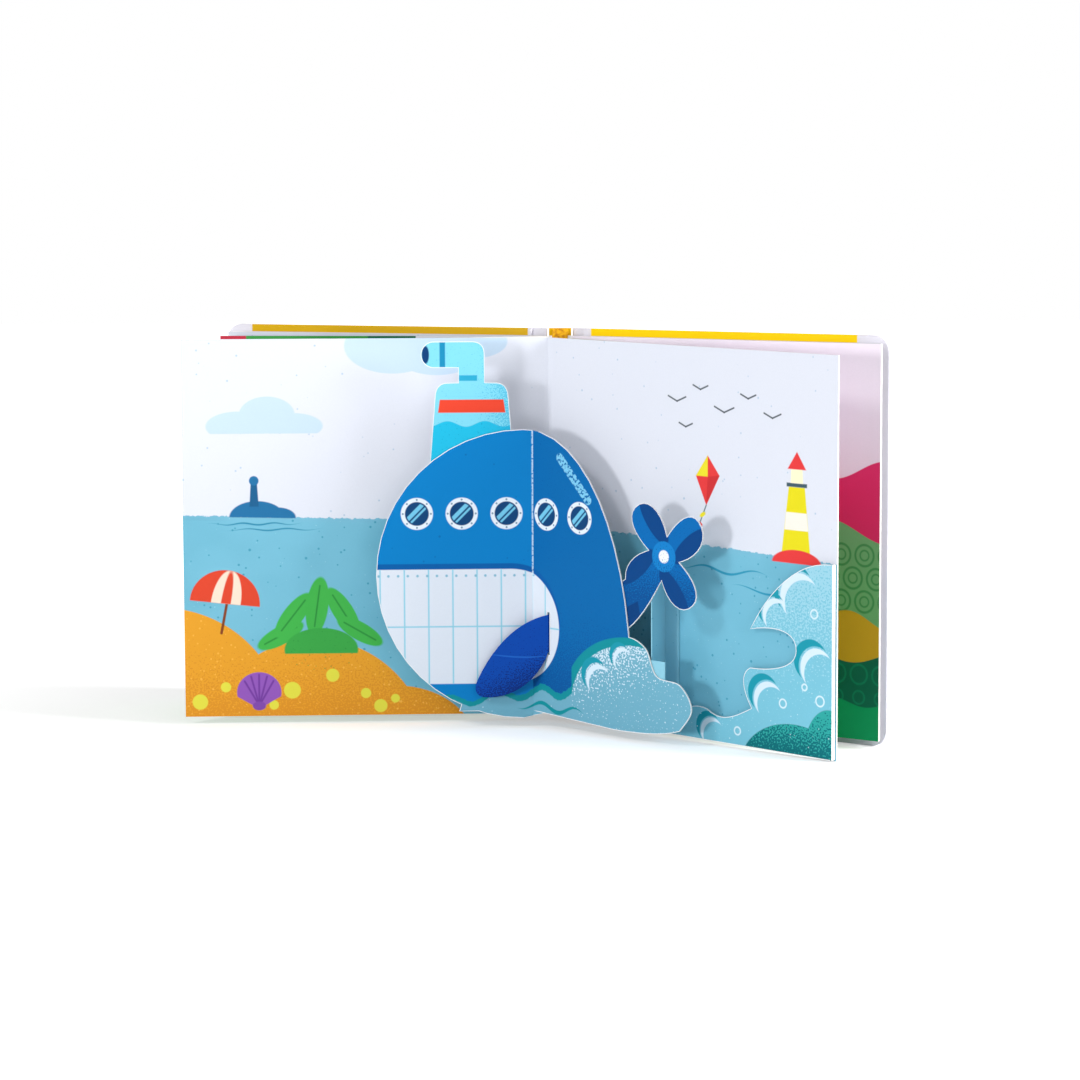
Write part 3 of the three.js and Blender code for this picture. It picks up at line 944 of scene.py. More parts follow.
def choose(piece: bpy.types.Object, kind: str, wanted: Callable[[object], bool]) -> None:
    """Selects vertices or faces of the active piece and stays in edit mode.

    Args:
        piece: the piece.
        kind: "VERT" or "FACE".
        wanted: test that tells which of them are selected.
    """
    bpy.ops.object.mode_set(mode="EDIT")
    bpy.ops.mesh.select_mode(type=kind)
    bpy.ops.mesh.select_all(action="DESELECT")
    bpy.ops.object.mode_set(mode="OBJECT")
    for part in piece.data.vertices if kind == "VERT" else piece.data.polygons:
        part.select = wanted(part)
    bpy.ops.object.mode_set(mode="EDIT")


def settle(piece: bpy.types.Object, name: str, body: str, material: bpy.types.Material) -> None:
    """Names a piece, puts its place into its mesh, dresses it and lets it ride on a body.

    Args:
        piece: the finished piece.
        name: its name.
        body: the body that carries it.
        material: its material.
    """
    deselect()
    piece.select_set(True)
    bpy.context.view_layer.objects.active = piece
    bpy.ops.object.transform_apply(location=True, rotation=True, scale=True)
    piece.name = name
    piece.data.name = name
    piece.data.materials.clear()
    piece.data.materials.append(material)
    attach(piece, body)
    log.info("%s: %d faces on %s", name, len(piece.data.polygons), body)


def dress_node(name: str, material: bpy.types.Material) -> None:
    """Gives a solid of the frame its finished material.

    Args:
        name: name of the solid's node.
        material: the material.
    """
    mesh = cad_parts[name].data
    mesh.materials.clear()
    mesh.materials.append(material)
    log.info("%s: dressed", name)


@dataclass(frozen=True)
class Leaf:
    """Where one leaf stands.

    Args:
        way: 1 for a leaf to the right of the gutter, -1 to the left.
        turn: turn of the leaf about the vertical in degrees.
        root: plan place of its spine edge from the gutter, in millimetres.
        sag: fall of the fore-edge in millimetres.
    """

    way: int
    turn: float
    root: Point = (0.0, 0.0)
    sag: float = 0.0

    def place(self) -> Vector:
        """Returns the zero point of the leaf's line in metres."""
        return gutter() + Vector((self.root[0] * MM, self.root[1] * MM, 0.0))

    def slope(self) -> float:
        """Returns the fall of the leaf per millimetre to the right."""
        return self.way * self.sag / PAGE_WIDTH


@dataclass
class PrintedFace:
    """One printed face of a leaf.

    Args:
        name: name of the piece.
        motif: what is printed.
        leaf: the leaf that carries it.
        face: depth of the printed face behind the leaf's line, in millimetres.
        behind: True if the print is on the side away from the reader.
        near: where the printed face starts along the leaf, in millimetres.
    """

    name: str
    motif: Motif
    leaf: Leaf
    face: float
    behind: bool = False
    near: float = 0.0

    def build(self) -> bpy.types.Object:
        """Makes the face from a plane.

        Returns:
            The printed sheet, a little off the solid leaf.
        """
        deselect()
        leaf = self.leaf
        outward = 1.0 if self.behind else -1.0
        near, far = sorted((leaf.way * self.near, leaf.way * PAGE_WIDTH))
        depth = self.face + outward * PRINT_LIFT
        middle = leaf.place() + turned((near + far) / 2, depth, leaf.turn)
        middle.z += PAGE_HEIGHT / 2 * MM
        facing = (-outward * math.pi / 2, 0.0, math.radians(leaf.turn))
        bpy.ops.mesh.primitive_plane_add(size=1.0, location=middle, rotation=facing)
        sheet = bpy.context.object
        sheet.scale = ((far - near) * MM, PAGE_HEIGHT * MM, 1.0)
        bpy.ops.object.transform_apply(location=True, rotation=True, scale=True)
        bpy.ops.object.mode_set(mode="EDIT")
        bpy.ops.mesh.subdivide(number_cuts=STRIPS - 1)
        bpy.ops.object.mode_set(mode="OBJECT")
        if leaf.sag:
            self.lower(sheet)
        return sheet

    def lower(self, sheet: bpy.types.Object) -> None:
        """Lets the sheet sink towards its fore-edge, row by row.

        Args:
            sheet: the level sheet, cut into strips.
        """
        start = self.leaf.place()
        direction = turned(1.0, 0.0, self.leaf.turn).normalized()

        def reach(vertex: bpy.types.MeshVertex) -> float:
            """Returns how far the vertex lies along the leaf, in millimetres."""
            return round((vertex.co - start).dot(direction) / MM, 3)

        for row in sorted({reach(vertex) for vertex in sheet.data.vertices}):
            choose(sheet, "VERT", lambda vertex, row=row: reach(vertex) == row)
            bpy.ops.transform.translate(value=(0.0, 0.0, -self.leaf.slope() * row * MM))
            bpy.ops.object.mode_set(mode="OBJECT")

    def dress(self) -> bpy.types.Material:
        """Prints the motif.

        Returns:
            The finished material.
        """
        leaf = self.leaf
        printed = Print(PAGE_STOCK.named(self.name), PAGE_WHITE)
        printed.lay(leaf.place(), leaf.turn, leaf.slope())
        MOTIFS[self.motif](Scenery(printed))
        return printed.finish()

    def make(self) -> None:
        """Builds, dresses and hangs the face on the book block."""
        settle(self.build(), self.name, "book_block", self.dress())


@dataclass
class Leaves:
    """The card leaves with their printed faces.

    Args:
        left_page: the open left leaf.
        right_page: the open right leaf.
        second_left: the leaf behind the left one.
        third_left: the last leaf on the left.
        second_right: the leaf behind the right one.
        third_right: the last leaf on the right.
        glued_from: where the back print of an open leaf starts, past its Y-shaped root.
        shown_from: where the front print of the next leaf starts.
        hidden_from: where the other prints of the inner leaves start.
    """

    left_page: Leaf = Leaf(-1, LEFT_TURN)
    right_page: Leaf = Leaf(1, RIGHT_TURN, sag=PAGE_SAG)
    second_left: Leaf = Leaf(-1, -19.5, (1.5, 18.5), sag=1.8)
    third_left: Leaf = Leaf(-1, -22.2, (1.5, 22.5))
    second_right: Leaf = Leaf(1, -37.2, (12.0, 20.5))
    third_right: Leaf = Leaf(1, -36.9, (12.0, 23.0))
    glued_from: float = 57.0
    shown_from: float = 2.0
    hidden_from: float = 12.0

    def faces(self) -> list[PrintedFace]:
        """Lists every printed face.

        Returns:
            The faces, the open pages first.
        """
        half = LEAF / 2
        shown, hidden = self.shown_from, self.hidden_from
        return [
            PrintedFace("left_page_print", Motif.SHORE_LEFT, self.left_page, 0.0),
            PrintedFace("right_page_print", Motif.SHORE_RIGHT, self.right_page, 0.0),
            PrintedFace("left_page_back_print", Motif.GARDEN, self.left_page, LEAF,
                        behind=True, near=self.glued_from),
            PrintedFace("right_page_back_print", Motif.REEF, self.right_page, LEAF,
                        behind=True, near=self.glued_from),
            PrintedFace("left_leaf_print", Motif.GARDEN, self.second_left, -half, near=shown),
            PrintedFace("left_leaf_back_print", Motif.CALM, self.second_left, half,
                        behind=True, near=hidden),
            PrintedFace("last_left_leaf_print", Motif.CALM, self.third_left, -half,
                        near=hidden),
            PrintedFace("right_leaf_print", Motif.REEF, self.second_right, -half, near=shown),
            PrintedFace("right_leaf_back_print", Motif.CALM, self.second_right, half,
                        behind=True, near=hidden),
            PrintedFace("last_right_leaf_print", Motif.CALM, self.third_right, -half,
                        near=hidden),
        ]

    def make(self) -> None:
        """Dresses the solid leaves and adds their prints."""
        dress_node("pages", Print(PLAIN_STOCK, CORE_WHITE).finish())
        for face in self.faces():
            face.make()


@dataclass
class CutEdge:
    """The white core of the card that shows along the cut edge of a printed sheet.

    Args:
        node: the solid whose front is outlined.
        turns: turns of its front faces in degrees.
        slot: material slot of the solid; not used.
        reach: farthest place along the right page that is outlined, in millimetres.
        width: width of the rim in millimetres.
        facing: least cosine between a front face and the way it should look.
        merge: distance in millimetres at which the solid's loose corners are joined.
    """

    node: str
    turns: tuple[float, ...]
    slot: str
    reach: float = PAGE_WIDTH
    width: float = 0.36
    facing: float = 0.999
    merge: float = 0.001

    def build(self) -> bpy.types.Object:
        """Cuts the front faces out of a copy, insets them and keeps the rim.

        Returns:
            The rim, a little in front of the solid.
        """
        deselect()
        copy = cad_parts[self.node].data.copy()
        rim = bpy.data.objects.new(f"{self.node}_cut_edge", copy)
        bpy.context.collection.objects.link(rim)
        rim.select_set(True)
        bpy.context.view_layer.objects.active = rim
        fronts = [turned(0.0, -1.0, turn).normalized() for turn in self.turns]
        self.drop(rim, lambda face: all(face.normal.dot(front) < self.facing for front in fronts))
        bpy.ops.object.mode_set(mode="EDIT")
        bpy.ops.mesh.select_all(action="SELECT")
        bpy.ops.mesh.remove_doubles(threshold=self.merge * MM)
        bpy.ops.mesh.inset(thickness=self.width * MM, use_boundary=True, use_even_offset=False)
        bpy.ops.mesh.delete(type="FACE")
        bpy.ops.object.mode_set(mode="OBJECT")
        along = turned(1.0, 0.0, RIGHT_TURN).normalized()
        self.drop(rim, lambda face: (face.center - gutter()).dot(along) > self.reach * MM)
        rim.location = turned(0.0, -PRINT_LIFT, sum(self.turns) / len(self.turns))
        return rim

    def drop(self, rim: bpy.types.Object,
             unwanted: Callable[[bpy.types.MeshPolygon], bool]) -> None:
        """Deletes faces of the rim.

        Args:
            rim: the rim.
            unwanted: test that tells which faces go.
        """
        choose(rim, "FACE", unwanted)
        bpy.ops.mesh.delete(type="FACE")
        bpy.ops.object.mode_set(mode="OBJECT")

    def make(self) -> None:
        """Builds the rim and hangs it on the book block."""
        core = Print(PLAIN_STOCK.named(self.node), "eef0f3").finish()
        settle(self.build(), f"{self.node}_cut_edge", "book_block", core)


@dataclass
class PopUp:
    """The folded pop-up layer with its struts and glued pieces.

    Args:
        keel_start: left end of the keel's middle line, along the flat sheet and up.
        keel_end: its right end.
        keel_width: height of the pale keel.
        plate: width of one plate of the keel.
        rivet_gap: distance between two rivets.
        porthole: place of the first round window.
        porthole_gap: distance between two windows.
        row: where the row of windows starts and ends.
        stern: where the high foam starts.
        screw_hub: middle of the screw on the right page.
        screw_turn: turn of its first blade in degrees.
        blades: number of its blades.
        wave_edge: width of the wave card's folded edge that has no rim, in millimetres.
    """

    keel_start: Point = (-110.0, 51.0)
    keel_end: Point = (-12.0, 51.0)
    keel_width: float = 62.0
    plate: float = 13.0
    rivet_gap: float = 5.2
    porthole: Point = (-62.0, 112.0)
    porthole_gap: float = 24.0
    row: Point = (-74.0, 46.0)
    stern: float = 28.0
    screw_hub: Point = (102.0, 97.0)
    screw_turn: float = 38.0
    blades: int = 4
    wave_edge: float = 1.4

    def fold(self) -> float:
        """Returns how far the layer's fold lies from the gutter along each page."""
        half = math.radians(180 - LEFT_TURN + RIGHT_TURN) / 2
        return LAYER_LIFT / math.tan(half)

    def flat_axes(self, p: Print) -> None:
        """Lays a print on the folded sheet as if it were flat, with X = 0 at the fold.

        Args:
            p: the print.
        """
        p.lay(gutter(), (LEFT_TURN + RIGHT_TURN) / 2)
        side = p.right_of(0.0)
        halves = []
        for turn, shift, slope in ((LEFT_TURN, self.fold(), 0.0),
                                   (RIGHT_TURN, -self.fold(), PAGE_SLOPE)):
            p.lay(gutter(), turn)
            x = add_node(p.tree, MATH, (p.x, shift), operation="ADD")[0]
            y = p.y
            if slope:
                y = add_node(p.tree, MATH, (x, slope, y), operation="MULTIPLY_ADD")[0]
            halves.append((x, y, p.depth))
        axes = []
        for left, right in zip(*halves):
            axes.append(add_node(p.tree, MIX, {
                MIX_FACTOR: side, MIX_NUMBER_A: left, MIX_NUMBER_B: right,
            }, data_type="FLOAT")[MIX_NUMBER_OUT])
        p.set_axes(*axes)

    def hull(self) -> bpy.types.Material:
        """Prints the round hull, its pale keel, portholes and the foam it stands in.

        Returns:
            The finished material.
        """
        p = Print(POPUP_STOCK.named("hull"), "007abf")
        self.flat_axes(p)
        right = p.right_of(0.0)
        # The right half of the hull is printed in a darker copy of its blue: painted shade
        p.paint(right, "0064a6")
        p.paint(p.specks(7.0, 0.14), "005f9f", 0.7)
        p.paint(p.both(right, p.stipple(p.fade(p.y, 62.0, 12.0))), "004f94", 0.8)
        start, end = self.keel_start, self.keel_end
        shade = p.stroke((start[0], start[1] + 2), (end[0], end[1] + 2), self.keel_width + 2)
        p.paint(p.without(shade, p.below(start[1] + 1)), "0059a0")
        keel = p.stroke(start, end, self.keel_width)
        p.paint(keel, "d8e0eb")
        with p.repeated(-4.0, self.plate):
            p.paint(p.both(keel, p.stroke((0, 10), (0, 90), 0.8)), SEAM_BLUE)
        p.paint(p.both(keel, p.stroke(start, (30, start[1]), 0.8)), SEAM_BLUE)
        with p.repeated(0.5, self.rivet_gap):
            p.paint(p.both(keel, p.disc(0, 78.5, 0.7)), "7fb4cc")
        self.portholes(p)
        # Pale dry-brushed stroke on the upper right of the round hull: painted highlight
        highlight_stroke = p.both(p.stroke((20, 143), (40, 122), 5.0), p.wear_and_light_patches(1.6, 0.46, 0.05))
        p.paint(highlight_stroke, "7cc4e4")
        crease = p.both(p.stroke((0, 40), (0, 170), 0.9), p.wear_and_light_patches(1.3, 0.42, 0.06))
        p.paint(crease, "cfe3f0", 0.8)
        self.foam(p)
        return p.finish(INK_DEPTH - LAYER_LIFT)

    def portholes(self, p: Print) -> None:
        """Prints the row of round windows that runs round the hull.

        Args:
            p: the print.
        """
        first, height = self.porthole
        start, end = self.row
        before_end = add_node(p.tree, MATH, (p.x, end), operation="LESS_THAN")[0]
        row = p.both(p.right_of(start), before_end)
        with p.repeated(first, self.porthole_gap):
            p.paint(p.both(row, p.disc(0, height, 8.6)), "dfe8f2")
            p.paint(p.both(row, p.disc(0, height, 6.4)), "0b3f70")
            glass = p.both(row, p.disc(0, height, 5.6))
            # Pale diagonal strokes on the glass: painted reflection
            for left, width in ((-7.0, 2.2), (-3.4, 1.1)):
                gleam = p.stroke((left, height - 5), (left + 10, height + 5), width)
                p.paint(p.both(glass, gleam), GLEAM_BLUE)
            p.paint(p.both(row, p.studs(0, height, 7.5, 8, 0.55)), "7f97ad")

    def foam(self, p: Print) -> None:
        """Prints the foam at the foot of the hull.

        Args:
            p: the print.
        """
        stern = p.right_of(self.stern)
        foam = p.either(p.below(13.5, 0.1, 2.6, 26.0, 0.7), p.both(p.disc(72, 14, 44, 34), stern))
        edge = p.either(p.below(17.0, 0.12, 2.6, 26.0, 1.2), p.both(p.disc(70, 15, 47, 37), stern))
        p.paint(edge, TEAL)
        p.paint(foam, "6eabc1")
        spray = p.fade(p.slanted(-0.35), -4.0, 34.0)
        thinned = add_node(p.tree, MATH, (spray, 0.75), operation="MULTIPLY")[0]
        p.paint(p.both(foam, p.both(stern, p.stipple(thinned, 1.1))), "d7e8f3", 0.85)
        p.paint(p.both(foam, p.specks(3.0, 0.2)), "c3e0ee", 0.9)
        p.paint(p.both(foam, p.swash(-8, 36, 8.0, 2.0, 24.0, 2.4)), TEAL)
        p.crest(44, 30, 9.0)
        p.crest(62, 42, 7.0)

    def tower(self) -> bpy.types.Material:
        """Prints the hatch tower with its bands and lens.

        Returns:
            The finished material.
        """
        p = Print(POPUP_STOCK.named("tower"), "7ccfe4")
        p.lay(gutter(), LEFT_TURN)
        water = p.below(160.0, 0.0, 1.5, 20.0)
        p.paint(water, "1fb5da")
        p.paint(p.both(water, p.specks(1.8, 0.3)), "0f93bf", 0.8)
        p.paint(p.stipple(p.fade(p.x, -40.0, -14.0)), "2aa6cf", 0.6)
        p.paint(p.polygon(((-60, 166), (-24, 166), (-25, 173), (-59, 173))), "e0442e")
        p.paint(p.rectangle(-59, 188, -56, 206), "1b86b0")
        p.paint(p.disc(-66.5, 197, 1.9, 4.8), "0a3a6e")
        p.paint(p.rectangle(-52, 183, -39, 186), "2aa0c4")
        return p.finish(INK_DEPTH - TOWER_LIFT)

    def fin(self) -> bpy.types.Material:
        """Prints the dark side fin.

        Returns:
            The finished material.
        """
        p = Print(POPUP_STOCK.named("fin"), "0044a4")
        p.lay(gutter(), LEFT_TURN)
        p.paint(p.stipple(p.fade(p.slanted(-0.5), 46.0, 22.0)), "00246c", 0.9)
        p.paint(p.swash(-36, 0, 36.0, 1.0, 60.0, 0.9), "1d62bf", 0.8)
        return p.finish()

    def screw(self) -> bpy.types.Material:
        """Prints the screw and its boom.

        Returns:
            The finished material.
        """
        p = Print(POPUP_STOCK.named("screw"), "0066ae")
        p.lay(gutter(), RIGHT_TURN, PAGE_SLOPE)
        hub_x, hub_y = self.screw_hub
        for i in range(self.blades):
            turn = 360 / self.blades * i + self.screw_turn
            angle = math.radians(turn)
            x = hub_x + 19 * math.cos(angle) + 6 * math.sin(angle)
            y = hub_y + 19 * math.sin(angle) - 6 * math.cos(angle)
            p.paint(p.disc(x, y, 15, 5.5, turn), DEEP_BLUE)
        p.paint(p.polygon(((60, 40), (92, 40), (84, 72), (60, 60))), "00305f")
        p.paint(p.disc(hub_x, hub_y, 8.0), "0f7cc4")
        p.paint(p.disc(hub_x, hub_y, 3.4), "e9edf6")
        p.paint(p.stipple(p.fade(p.y, 100.0, 70.0)), DEEP_BLUE, 0.7)
        return p.finish(INK_DEPTH - TOWER_LIFT)

    def wave(self) -> bpy.types.Material:
        """Prints the raised wave card.

        Returns:
            The finished material.
        """
        p = Print(POPUP_STOCK.named("wave"), "78bfd4")
        p.lay(gutter(), RIGHT_TURN, PAGE_SLOPE)
        p.paint(p.stipple(p.fade(p.y, 30.0, 110.0), 1.1), "a9d6e6", 0.6)
        for x, y, r in ((172, 86, 13), (158, 74, 9), (153, 30, 10), (184, 50, 11), (116, 8, 8)):
            p.crest(x, y, r)
        for x, y, r in ((190, 30, 2.6), (180, 36, 1.6), (166, 26, 2.2), (136, 8, 2.0),
                        (186, 74, 2.2)):
            p.paint(p.ring(x, y, r, 0.8), "d5e9f2")
        rock = p.either(p.disc(174, -10, 36, 26), p.disc(196, 2, 16, 24))
        p.paint(rock, "076b73")
        p.paint(p.both(rock, p.stipple(p.fade(p.y, -4.0, 26.0), 1.0)), "2fa7a0", 0.9)
        p.paint(p.specks(4.0, 0.16), "c6e3ee", 0.8)
        return p.finish(INK_DEPTH - WAVE_LIFT)

    def strut(self) -> bpy.types.Material:
        """Prints the struts in the colour of the sea round them.

        Returns:
            The finished material.
        """
        p = Print(PAGE_STOCK.named("strut"), "8cc8dc")
        p.lay(gutter(), RIGHT_TURN)
        p.paint(p.specks(5.0, 0.14), FLECK_BLUE, 0.6)
        return p.finish()

    def make(self) -> None:
        """Dresses every piece of the pop-up and outlines those with a white cut edge."""
        dress_node("hull_panel", self.hull())
        dress_node("hatch_tower", self.tower())
        dress_node("side_fin", self.fin())
        dress_node("screw", self.screw())
        dress_node("wave_card", self.wave())
        CutEdge("hull_panel", (LEFT_TURN, RIGHT_TURN), "blue_card").make()
        CutEdge("hatch_tower", (LEFT_TURN,), "cyan_card").make()
        CutEdge("screw", (RIGHT_TURN,), "dark_blue_card").make()
        CutEdge("wave_card", (RIGHT_TURN,), "sea_card", PAGE_WIDTH - self.wave_edge).make()
        strut = self.strut()
        for name in ("left_strut", "centre_strut", "right_strut"):
            dress_node(name, strut)


class Side(Enum):
    """The two boards, by the way they run from the spine."""

    FRONT = -1
    BACK = 1


@dataclass
class HeadFold:
    """The crumpled fold of wrap paper at the head of the spine.

    Args:
        share: its width as a share of the spine board.
        thickness: its thickness in millimetres.
        height: its height.
        ahead: how far its middle stands in front of the spine board.
        down: how far its middle lies under the head.
        cuts: number of cuts along each edge of its block.
        crumple: how far its corners are moved at random.
    """

    share: float = 0.7
    thickness: float = 1.2
    height: float = 6.0
    ahead: float = 0.9
    down: float = 3.4
    cuts: int = 5
    crumple: float = 0.35

    def build(self) -> bpy.types.Object:
        """Crumples and smooths a thin block.

        Returns:
            The fold.
        """
        low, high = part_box("spine")
        deselect()
        middle = ((low[0] + high[0]) / 2, low[1] - self.ahead * MM, high[2] - self.down * MM)
        bpy.ops.mesh.primitive_cube_add(size=1.0, location=middle)
        fold = bpy.context.object
        fold.scale = ((high[0] - low[0]) * self.share, self.thickness * MM, self.height * MM)
        bpy.ops.object.transform_apply(location=True, rotation=True, scale=True)
        bpy.ops.object.mode_set(mode="EDIT")
        bpy.ops.mesh.select_all(action="SELECT")
        bpy.ops.mesh.subdivide(number_cuts=self.cuts, fractal=0.0, seed=3)
        bpy.ops.mesh.select_all(action="SELECT")
        bpy.ops.transform.vertex_random(offset=self.crumple * MM, uniform=0.6, seed=4)
        bpy.ops.object.mode_set(mode="OBJECT")
        soft = fold.modifiers.new("creases", "SUBSURF")
        soft.levels = 1
        soft.render_levels = 1
        bpy.ops.object.modifier_apply(modifier="creases")
        bpy.ops.object.shade_smooth()
        return fold

    def dress(self, place: Vector) -> bpy.types.Material:
        """Prints the yellow ink with brown patches of painted shade in its creases.

        Args:
            place: zero point of the print in metres.

        Returns:
            The finished material.
        """
        p = Print(FOLD_STOCK, "f0b412").lay(place, 0.0)
        # Brown patches of painted shade where the crumpled fold is shaded
        p.paint(p.wear_and_light_patches(2.6, 0.54, 0.1, 2.0), "b86c10", 0.8)
        return p.finish()


@dataclass
class Case:
    """The two boards and the spine in their printed wrap.

    Args:
        cover_width: width of a cover from its hinge line to its fore-edge, in millimetres.
        turn_in: width of the white border at the fore-edge.
        joint_margin: width of the white strip beside the groove.
        board: thickness of a board.
        yellow: lower and upper edge of the yellow field on the outside.
        waves: lower and upper edge of the field with the waves.
        band: lower and upper edge of the coloured band inside the head.
        front_band: where that band starts and ends along the front cover.
        back_band: where it starts and ends along the back cover.
    """

    cover_width: float = 202.0
    turn_in: float = 14.0
    joint_margin: float = 2.0
    board: float = 2.8
    yellow: Point = (70.0, 230.0)
    waves: Point = (-10.0, 96.0)
    band: Point = (195.0, 230.0)
    front_band: Point = (-185.5, -11.0)
    back_band: Point = (14.4, 183.0)

    def cover(self, side: Side) -> bpy.types.Material:
        """Prints the wrap of one board.

        Args:
            side: which board.

        Returns:
            The wrap's material.
        """
        front = side is Side.FRONT
        p = Print(WRAP_STOCK.named("front" if front else "back"), WRAP_WHITE)
        p.lay(self.hinge(side), FRONT_COVER_TURN if front else BACK_COVER_TURN)
        x0, x1 = sorted((side.value * (GROOVE + self.joint_margin),
                         side.value * (self.cover_width - self.turn_in)))
        p.paint(p.rectangle(x0, self.yellow[0], x1, self.yellow[1]), "f0bd00")
        sea = p.rectangle(x0, self.waves[0], x1, self.waves[1])
        for height, wave, length, code in ((86.0, 5.0, 46.0, "2f9fc6"),
                                           (66.0, 5.0, 58.0, "1b7fae"),
                                           (40.0, 4.0, 40.0, WRAP_WHITE)):
            p.paint(p.both(sea, p.below(height, 0.0, wave, length)), code)
        ahead = add_node(p.tree, MATH, (-0.5 * self.board, p.depth), operation="SUBTRACT")[0]
        inside = p.edge(ahead, 0.05)
        p.paint(inside, WRAP_WHITE)
        near, far = self.front_band if front else self.back_band
        band = p.rectangle(near, self.band[0], far, self.band[1])
        # The front band's yellow is a darker copy of the back band's: painted shade
        p.paint(p.both(inside, band), "dcae00" if front else "ffd600")
        return p.finish()

    def hinge(self, side: Side) -> Vector:
        """Works out a cover's hinge line.

        Args:
            side: which cover.

        Returns:
            The foot of the line in metres.
        """
        low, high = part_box("spine")
        start = low[0] if side is Side.FRONT else high[0]
        return Vector((start + side.value * HINGE_GAP * MM, low[1] + HINGE_FROM_INSIDE * MM, 0.0))

    def spine(self) -> bpy.types.Material:
        """Prints the yellow wrap of the spine board.

        Returns:
            The finished material.
        """
        p = Print(WRAP_STOCK.named("spine"), "e4b400").lay(self.hinge(Side.FRONT), 0.0)
        p.paint(p.specks(9.0, 0.1), "d0a000", 0.5)
        return p.finish()

    def make(self) -> None:
        """Dresses the case and adds the fold at its head."""
        dress_node("front_cover", self.cover(Side.FRONT))
        dress_node("back_cover", self.cover(Side.BACK))
        dress_node("spine", self.spine())
        lining = Print(LINING_STOCK, "efedf2").finish()
        dress_node("front_pastedown", lining)
        dress_node("back_pastedown", lining)
        fold = HeadFold()
        settle(fold.build(), "spine_head_fold", "book_block",
               fold.dress(self.hinge(Side.FRONT)))


@dataclass(frozen=True)
class Lamp:
    """One soft square lamp.

    Args:
        name: its name.
        place: its place in metres.
        side: length of its side in metres.
        power: its power in watts.
    """

    name: str
    place: tuple[float, float, float]
    side: float
    power: float

    def hang(self, aim: Vector) -> None:
        """Hangs the lamp and turns it to the book.

        Args:
            aim: the point that it shines at, in metres.
        """
        data = bpy.data.lights.new(self.name, "AREA")
        data.shape = "SQUARE"
        data.size = self.side
        data.energy = self.power
        lamp = bpy.data.objects.new(self.name, data)
        lamp.location = self.place
        lamp.rotation_euler = (aim - Vector(self.place)).to_track_quat("-Z", "Y").to_euler()
        bpy.context.collection.objects.link(lamp)


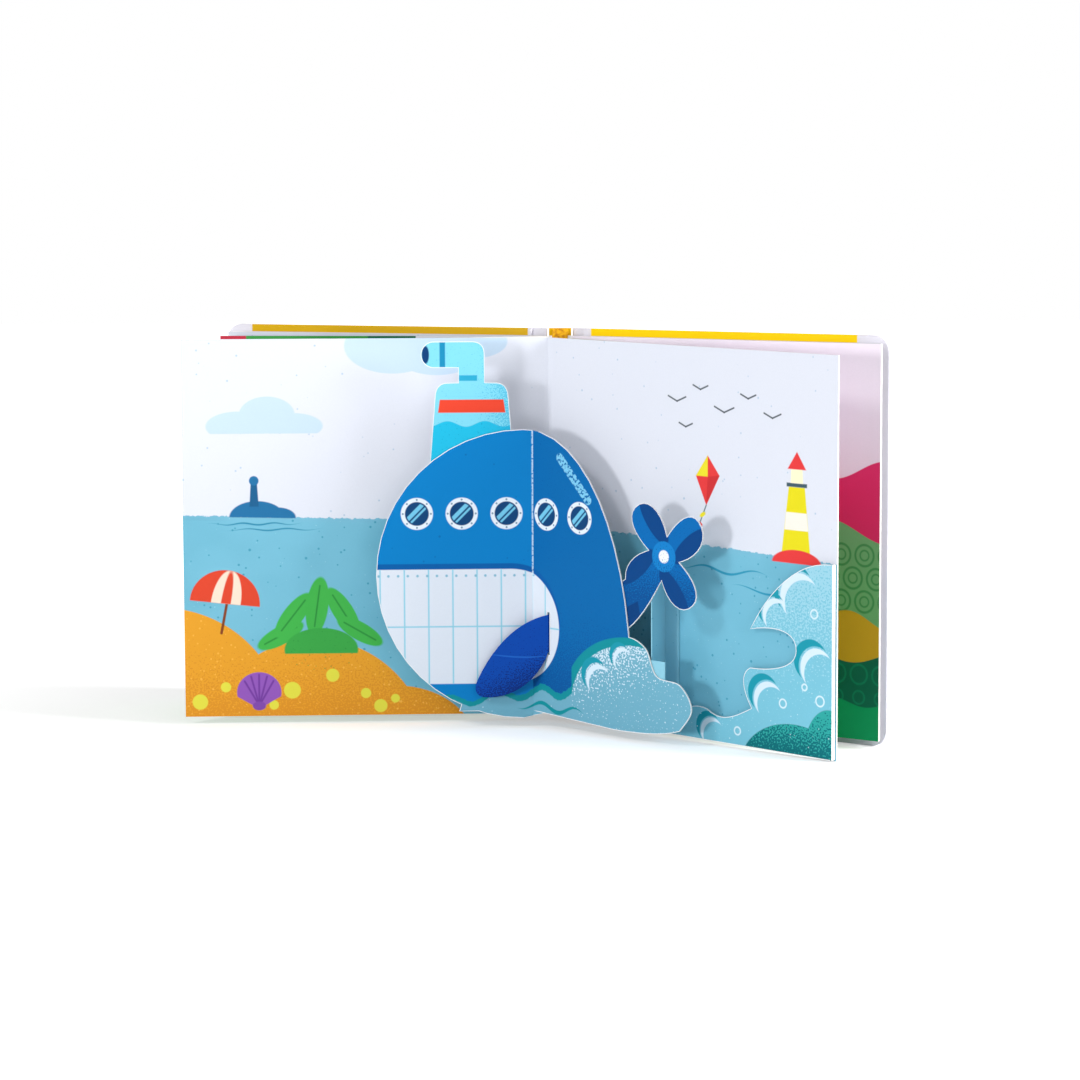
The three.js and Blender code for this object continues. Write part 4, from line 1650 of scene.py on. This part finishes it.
@dataclass
class Studio:
    """White floor and backdrop, soft lamps and the camera of the photograph.

    Args:
        floor_side: side of the square floor in metres.
        floor_drop: how far the floor lies under the book, so that they don't flicker.
        shadow_from: distance from the middle where the shadow starts to fade, in metres.
        shadow_to: distance from the middle where the floor is plain white.
        shadow_floor: own light of the floor near the book, where 1 is plain white.
        world_strength: light of the surroundings.
        clip_near: nearest distance that the camera sees, in metres.
        clip_far: farthest distance that it sees.
        aim: the point that the lamps shine at.
        lamps: the lamps.
    """

    floor_side: float = 12.0
    floor_drop: float = 0.0002
    shadow_from: float = 0.25
    shadow_to: float = 0.9
    shadow_floor: float = 0.42
    world_strength: float = 0.37
    clip_near: float = 0.05
    clip_far: float = 50.0
    aim: tuple[float, float, float] = (0.02, 0.0, 0.1)
    lamps: tuple[Lamp, ...] = (
        Lamp("key_left_low", (-1.5, -1.6, 0.25), 0.3, 16.0),
        Lamp("key_left_high", (-1.3, -1.5, 1.5), 0.4, 12.5),
        Lamp("fill_front", (0.75, -2.2, 0.7), 1.4, 6.5),
        Lamp("side_right", (1.8, -0.55, 0.8), 0.8, 40.0),
    )

    def camera(self) -> None:
        """Sets the camera where the photograph was taken from."""
        start = gutter()
        data = bpy.data.cameras.new("camera")
        data.sensor_width = SENSOR
        data.lens = SENSOR * FOCAL_PIXELS / IMAGE_SIDE
        data.clip_start = self.clip_near
        data.clip_end = self.clip_far
        camera = bpy.data.objects.new("camera", data)
        camera.location = (start.x + CAMERA_BESIDE_GUTTER * MM,
                           start.y - CAMERA_DISTANCE * MM,
                           CAMERA_HEIGHT * MM)
        pitch = Matrix.Rotation(math.pi / 2 - CAMERA_PITCH, 4, "X")
        roll = Matrix.Rotation(CAMERA_ROLL, 4, "Z")
        camera.rotation_euler = (pitch @ roll).to_euler()
        bpy.context.collection.objects.link(camera)
        bpy.context.scene.camera = camera

    def seen(self, tree: bpy.types.NodeTree) -> Socket:
        """Finds the rays that should meet a white backdrop.

        Args:
            tree: node tree of the floor or the world.

        Returns:
            1 for a ray of the camera, of a reflection or through glass, and 0 for others.
        """
        path = add_node(tree, "ShaderNodeLightPath")
        direct = add_node(tree, MATH, (path["Is Camera Ray"], path["Is Glossy Ray"]),
                          operation="MAXIMUM")[0]
        return add_node(tree, MATH, (direct, path["Is Transmission Ray"]),
                        operation="MAXIMUM")[0]

    def floor(self) -> None:
        """Lays the pale floor that keeps the book's shadow."""
        deselect()
        bpy.ops.mesh.primitive_plane_add(size=self.floor_side,
                                         location=(0.0, 0.0, -self.floor_drop))
        floor = bpy.context.object
        floor.name = "floor"
        material = bpy.data.materials.new("white_paper_sweep")
        material.use_nodes = True
        tree = material.node_tree
        tree.nodes.clear()
        point = add_node(tree, "ShaderNodeTexCoord")["Object"]
        reach = add_node(tree, VECTOR_MATH, (point,), operation="LENGTH")["Value"]
        fade = add_node(tree, MAP_RANGE, {
            "Value": reach, "From Min": self.shadow_from, "From Max": self.shadow_to,
            "To Min": self.shadow_floor, "To Max": 1.0})[0]
        lift = add_node(tree, MATH, (self.seen(tree), fade), operation="MULTIPLY")[0]
        diffuse = add_node(tree, "ShaderNodeBsdfDiffuse", {"Color": linear("f6f6f6")})[0]
        glow = add_node(tree, "ShaderNodeEmission", {"Strength": lift})[0]
        total = add_node(tree, "ShaderNodeAddShader", (diffuse, glow))[0]
        add_node(tree, "ShaderNodeOutputMaterial", {"Surface": total})
        floor.data.materials.append(material)

    def world(self) -> None:
        """Sets a soft world light with a white background."""
        world = bpy.data.worlds.new("studio")
        bpy.context.scene.world = world
        world.use_nodes = True
        tree = world.node_tree
        tree.nodes.clear()
        strength = add_node(tree, MIX, {
            MIX_FACTOR: self.seen(tree), MIX_NUMBER_A: self.world_strength, MIX_NUMBER_B: 1.0,
        }, data_type="FLOAT")[MIX_NUMBER_OUT]
        sky = add_node(tree, "ShaderNodeBackground", {
            "Color": linear("ffffff"), "Strength": strength})[0]
        add_node(tree, "ShaderNodeOutputWorld", {"Surface": sky})

    def make(self) -> None:
        """Sets up the whole studio."""
        bpy.context.scene.view_settings.view_transform = "Standard"
        self.camera()
        self.floor()
        self.world()
        for lamp in self.lamps:
            lamp.hang(Vector(self.aim))


def main() -> None:
    """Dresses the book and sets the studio."""
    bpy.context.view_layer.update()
    Case().make()
    Leaves().make()
    PopUp().make()
    Studio().make()


if __name__ == "__main__":
    main()
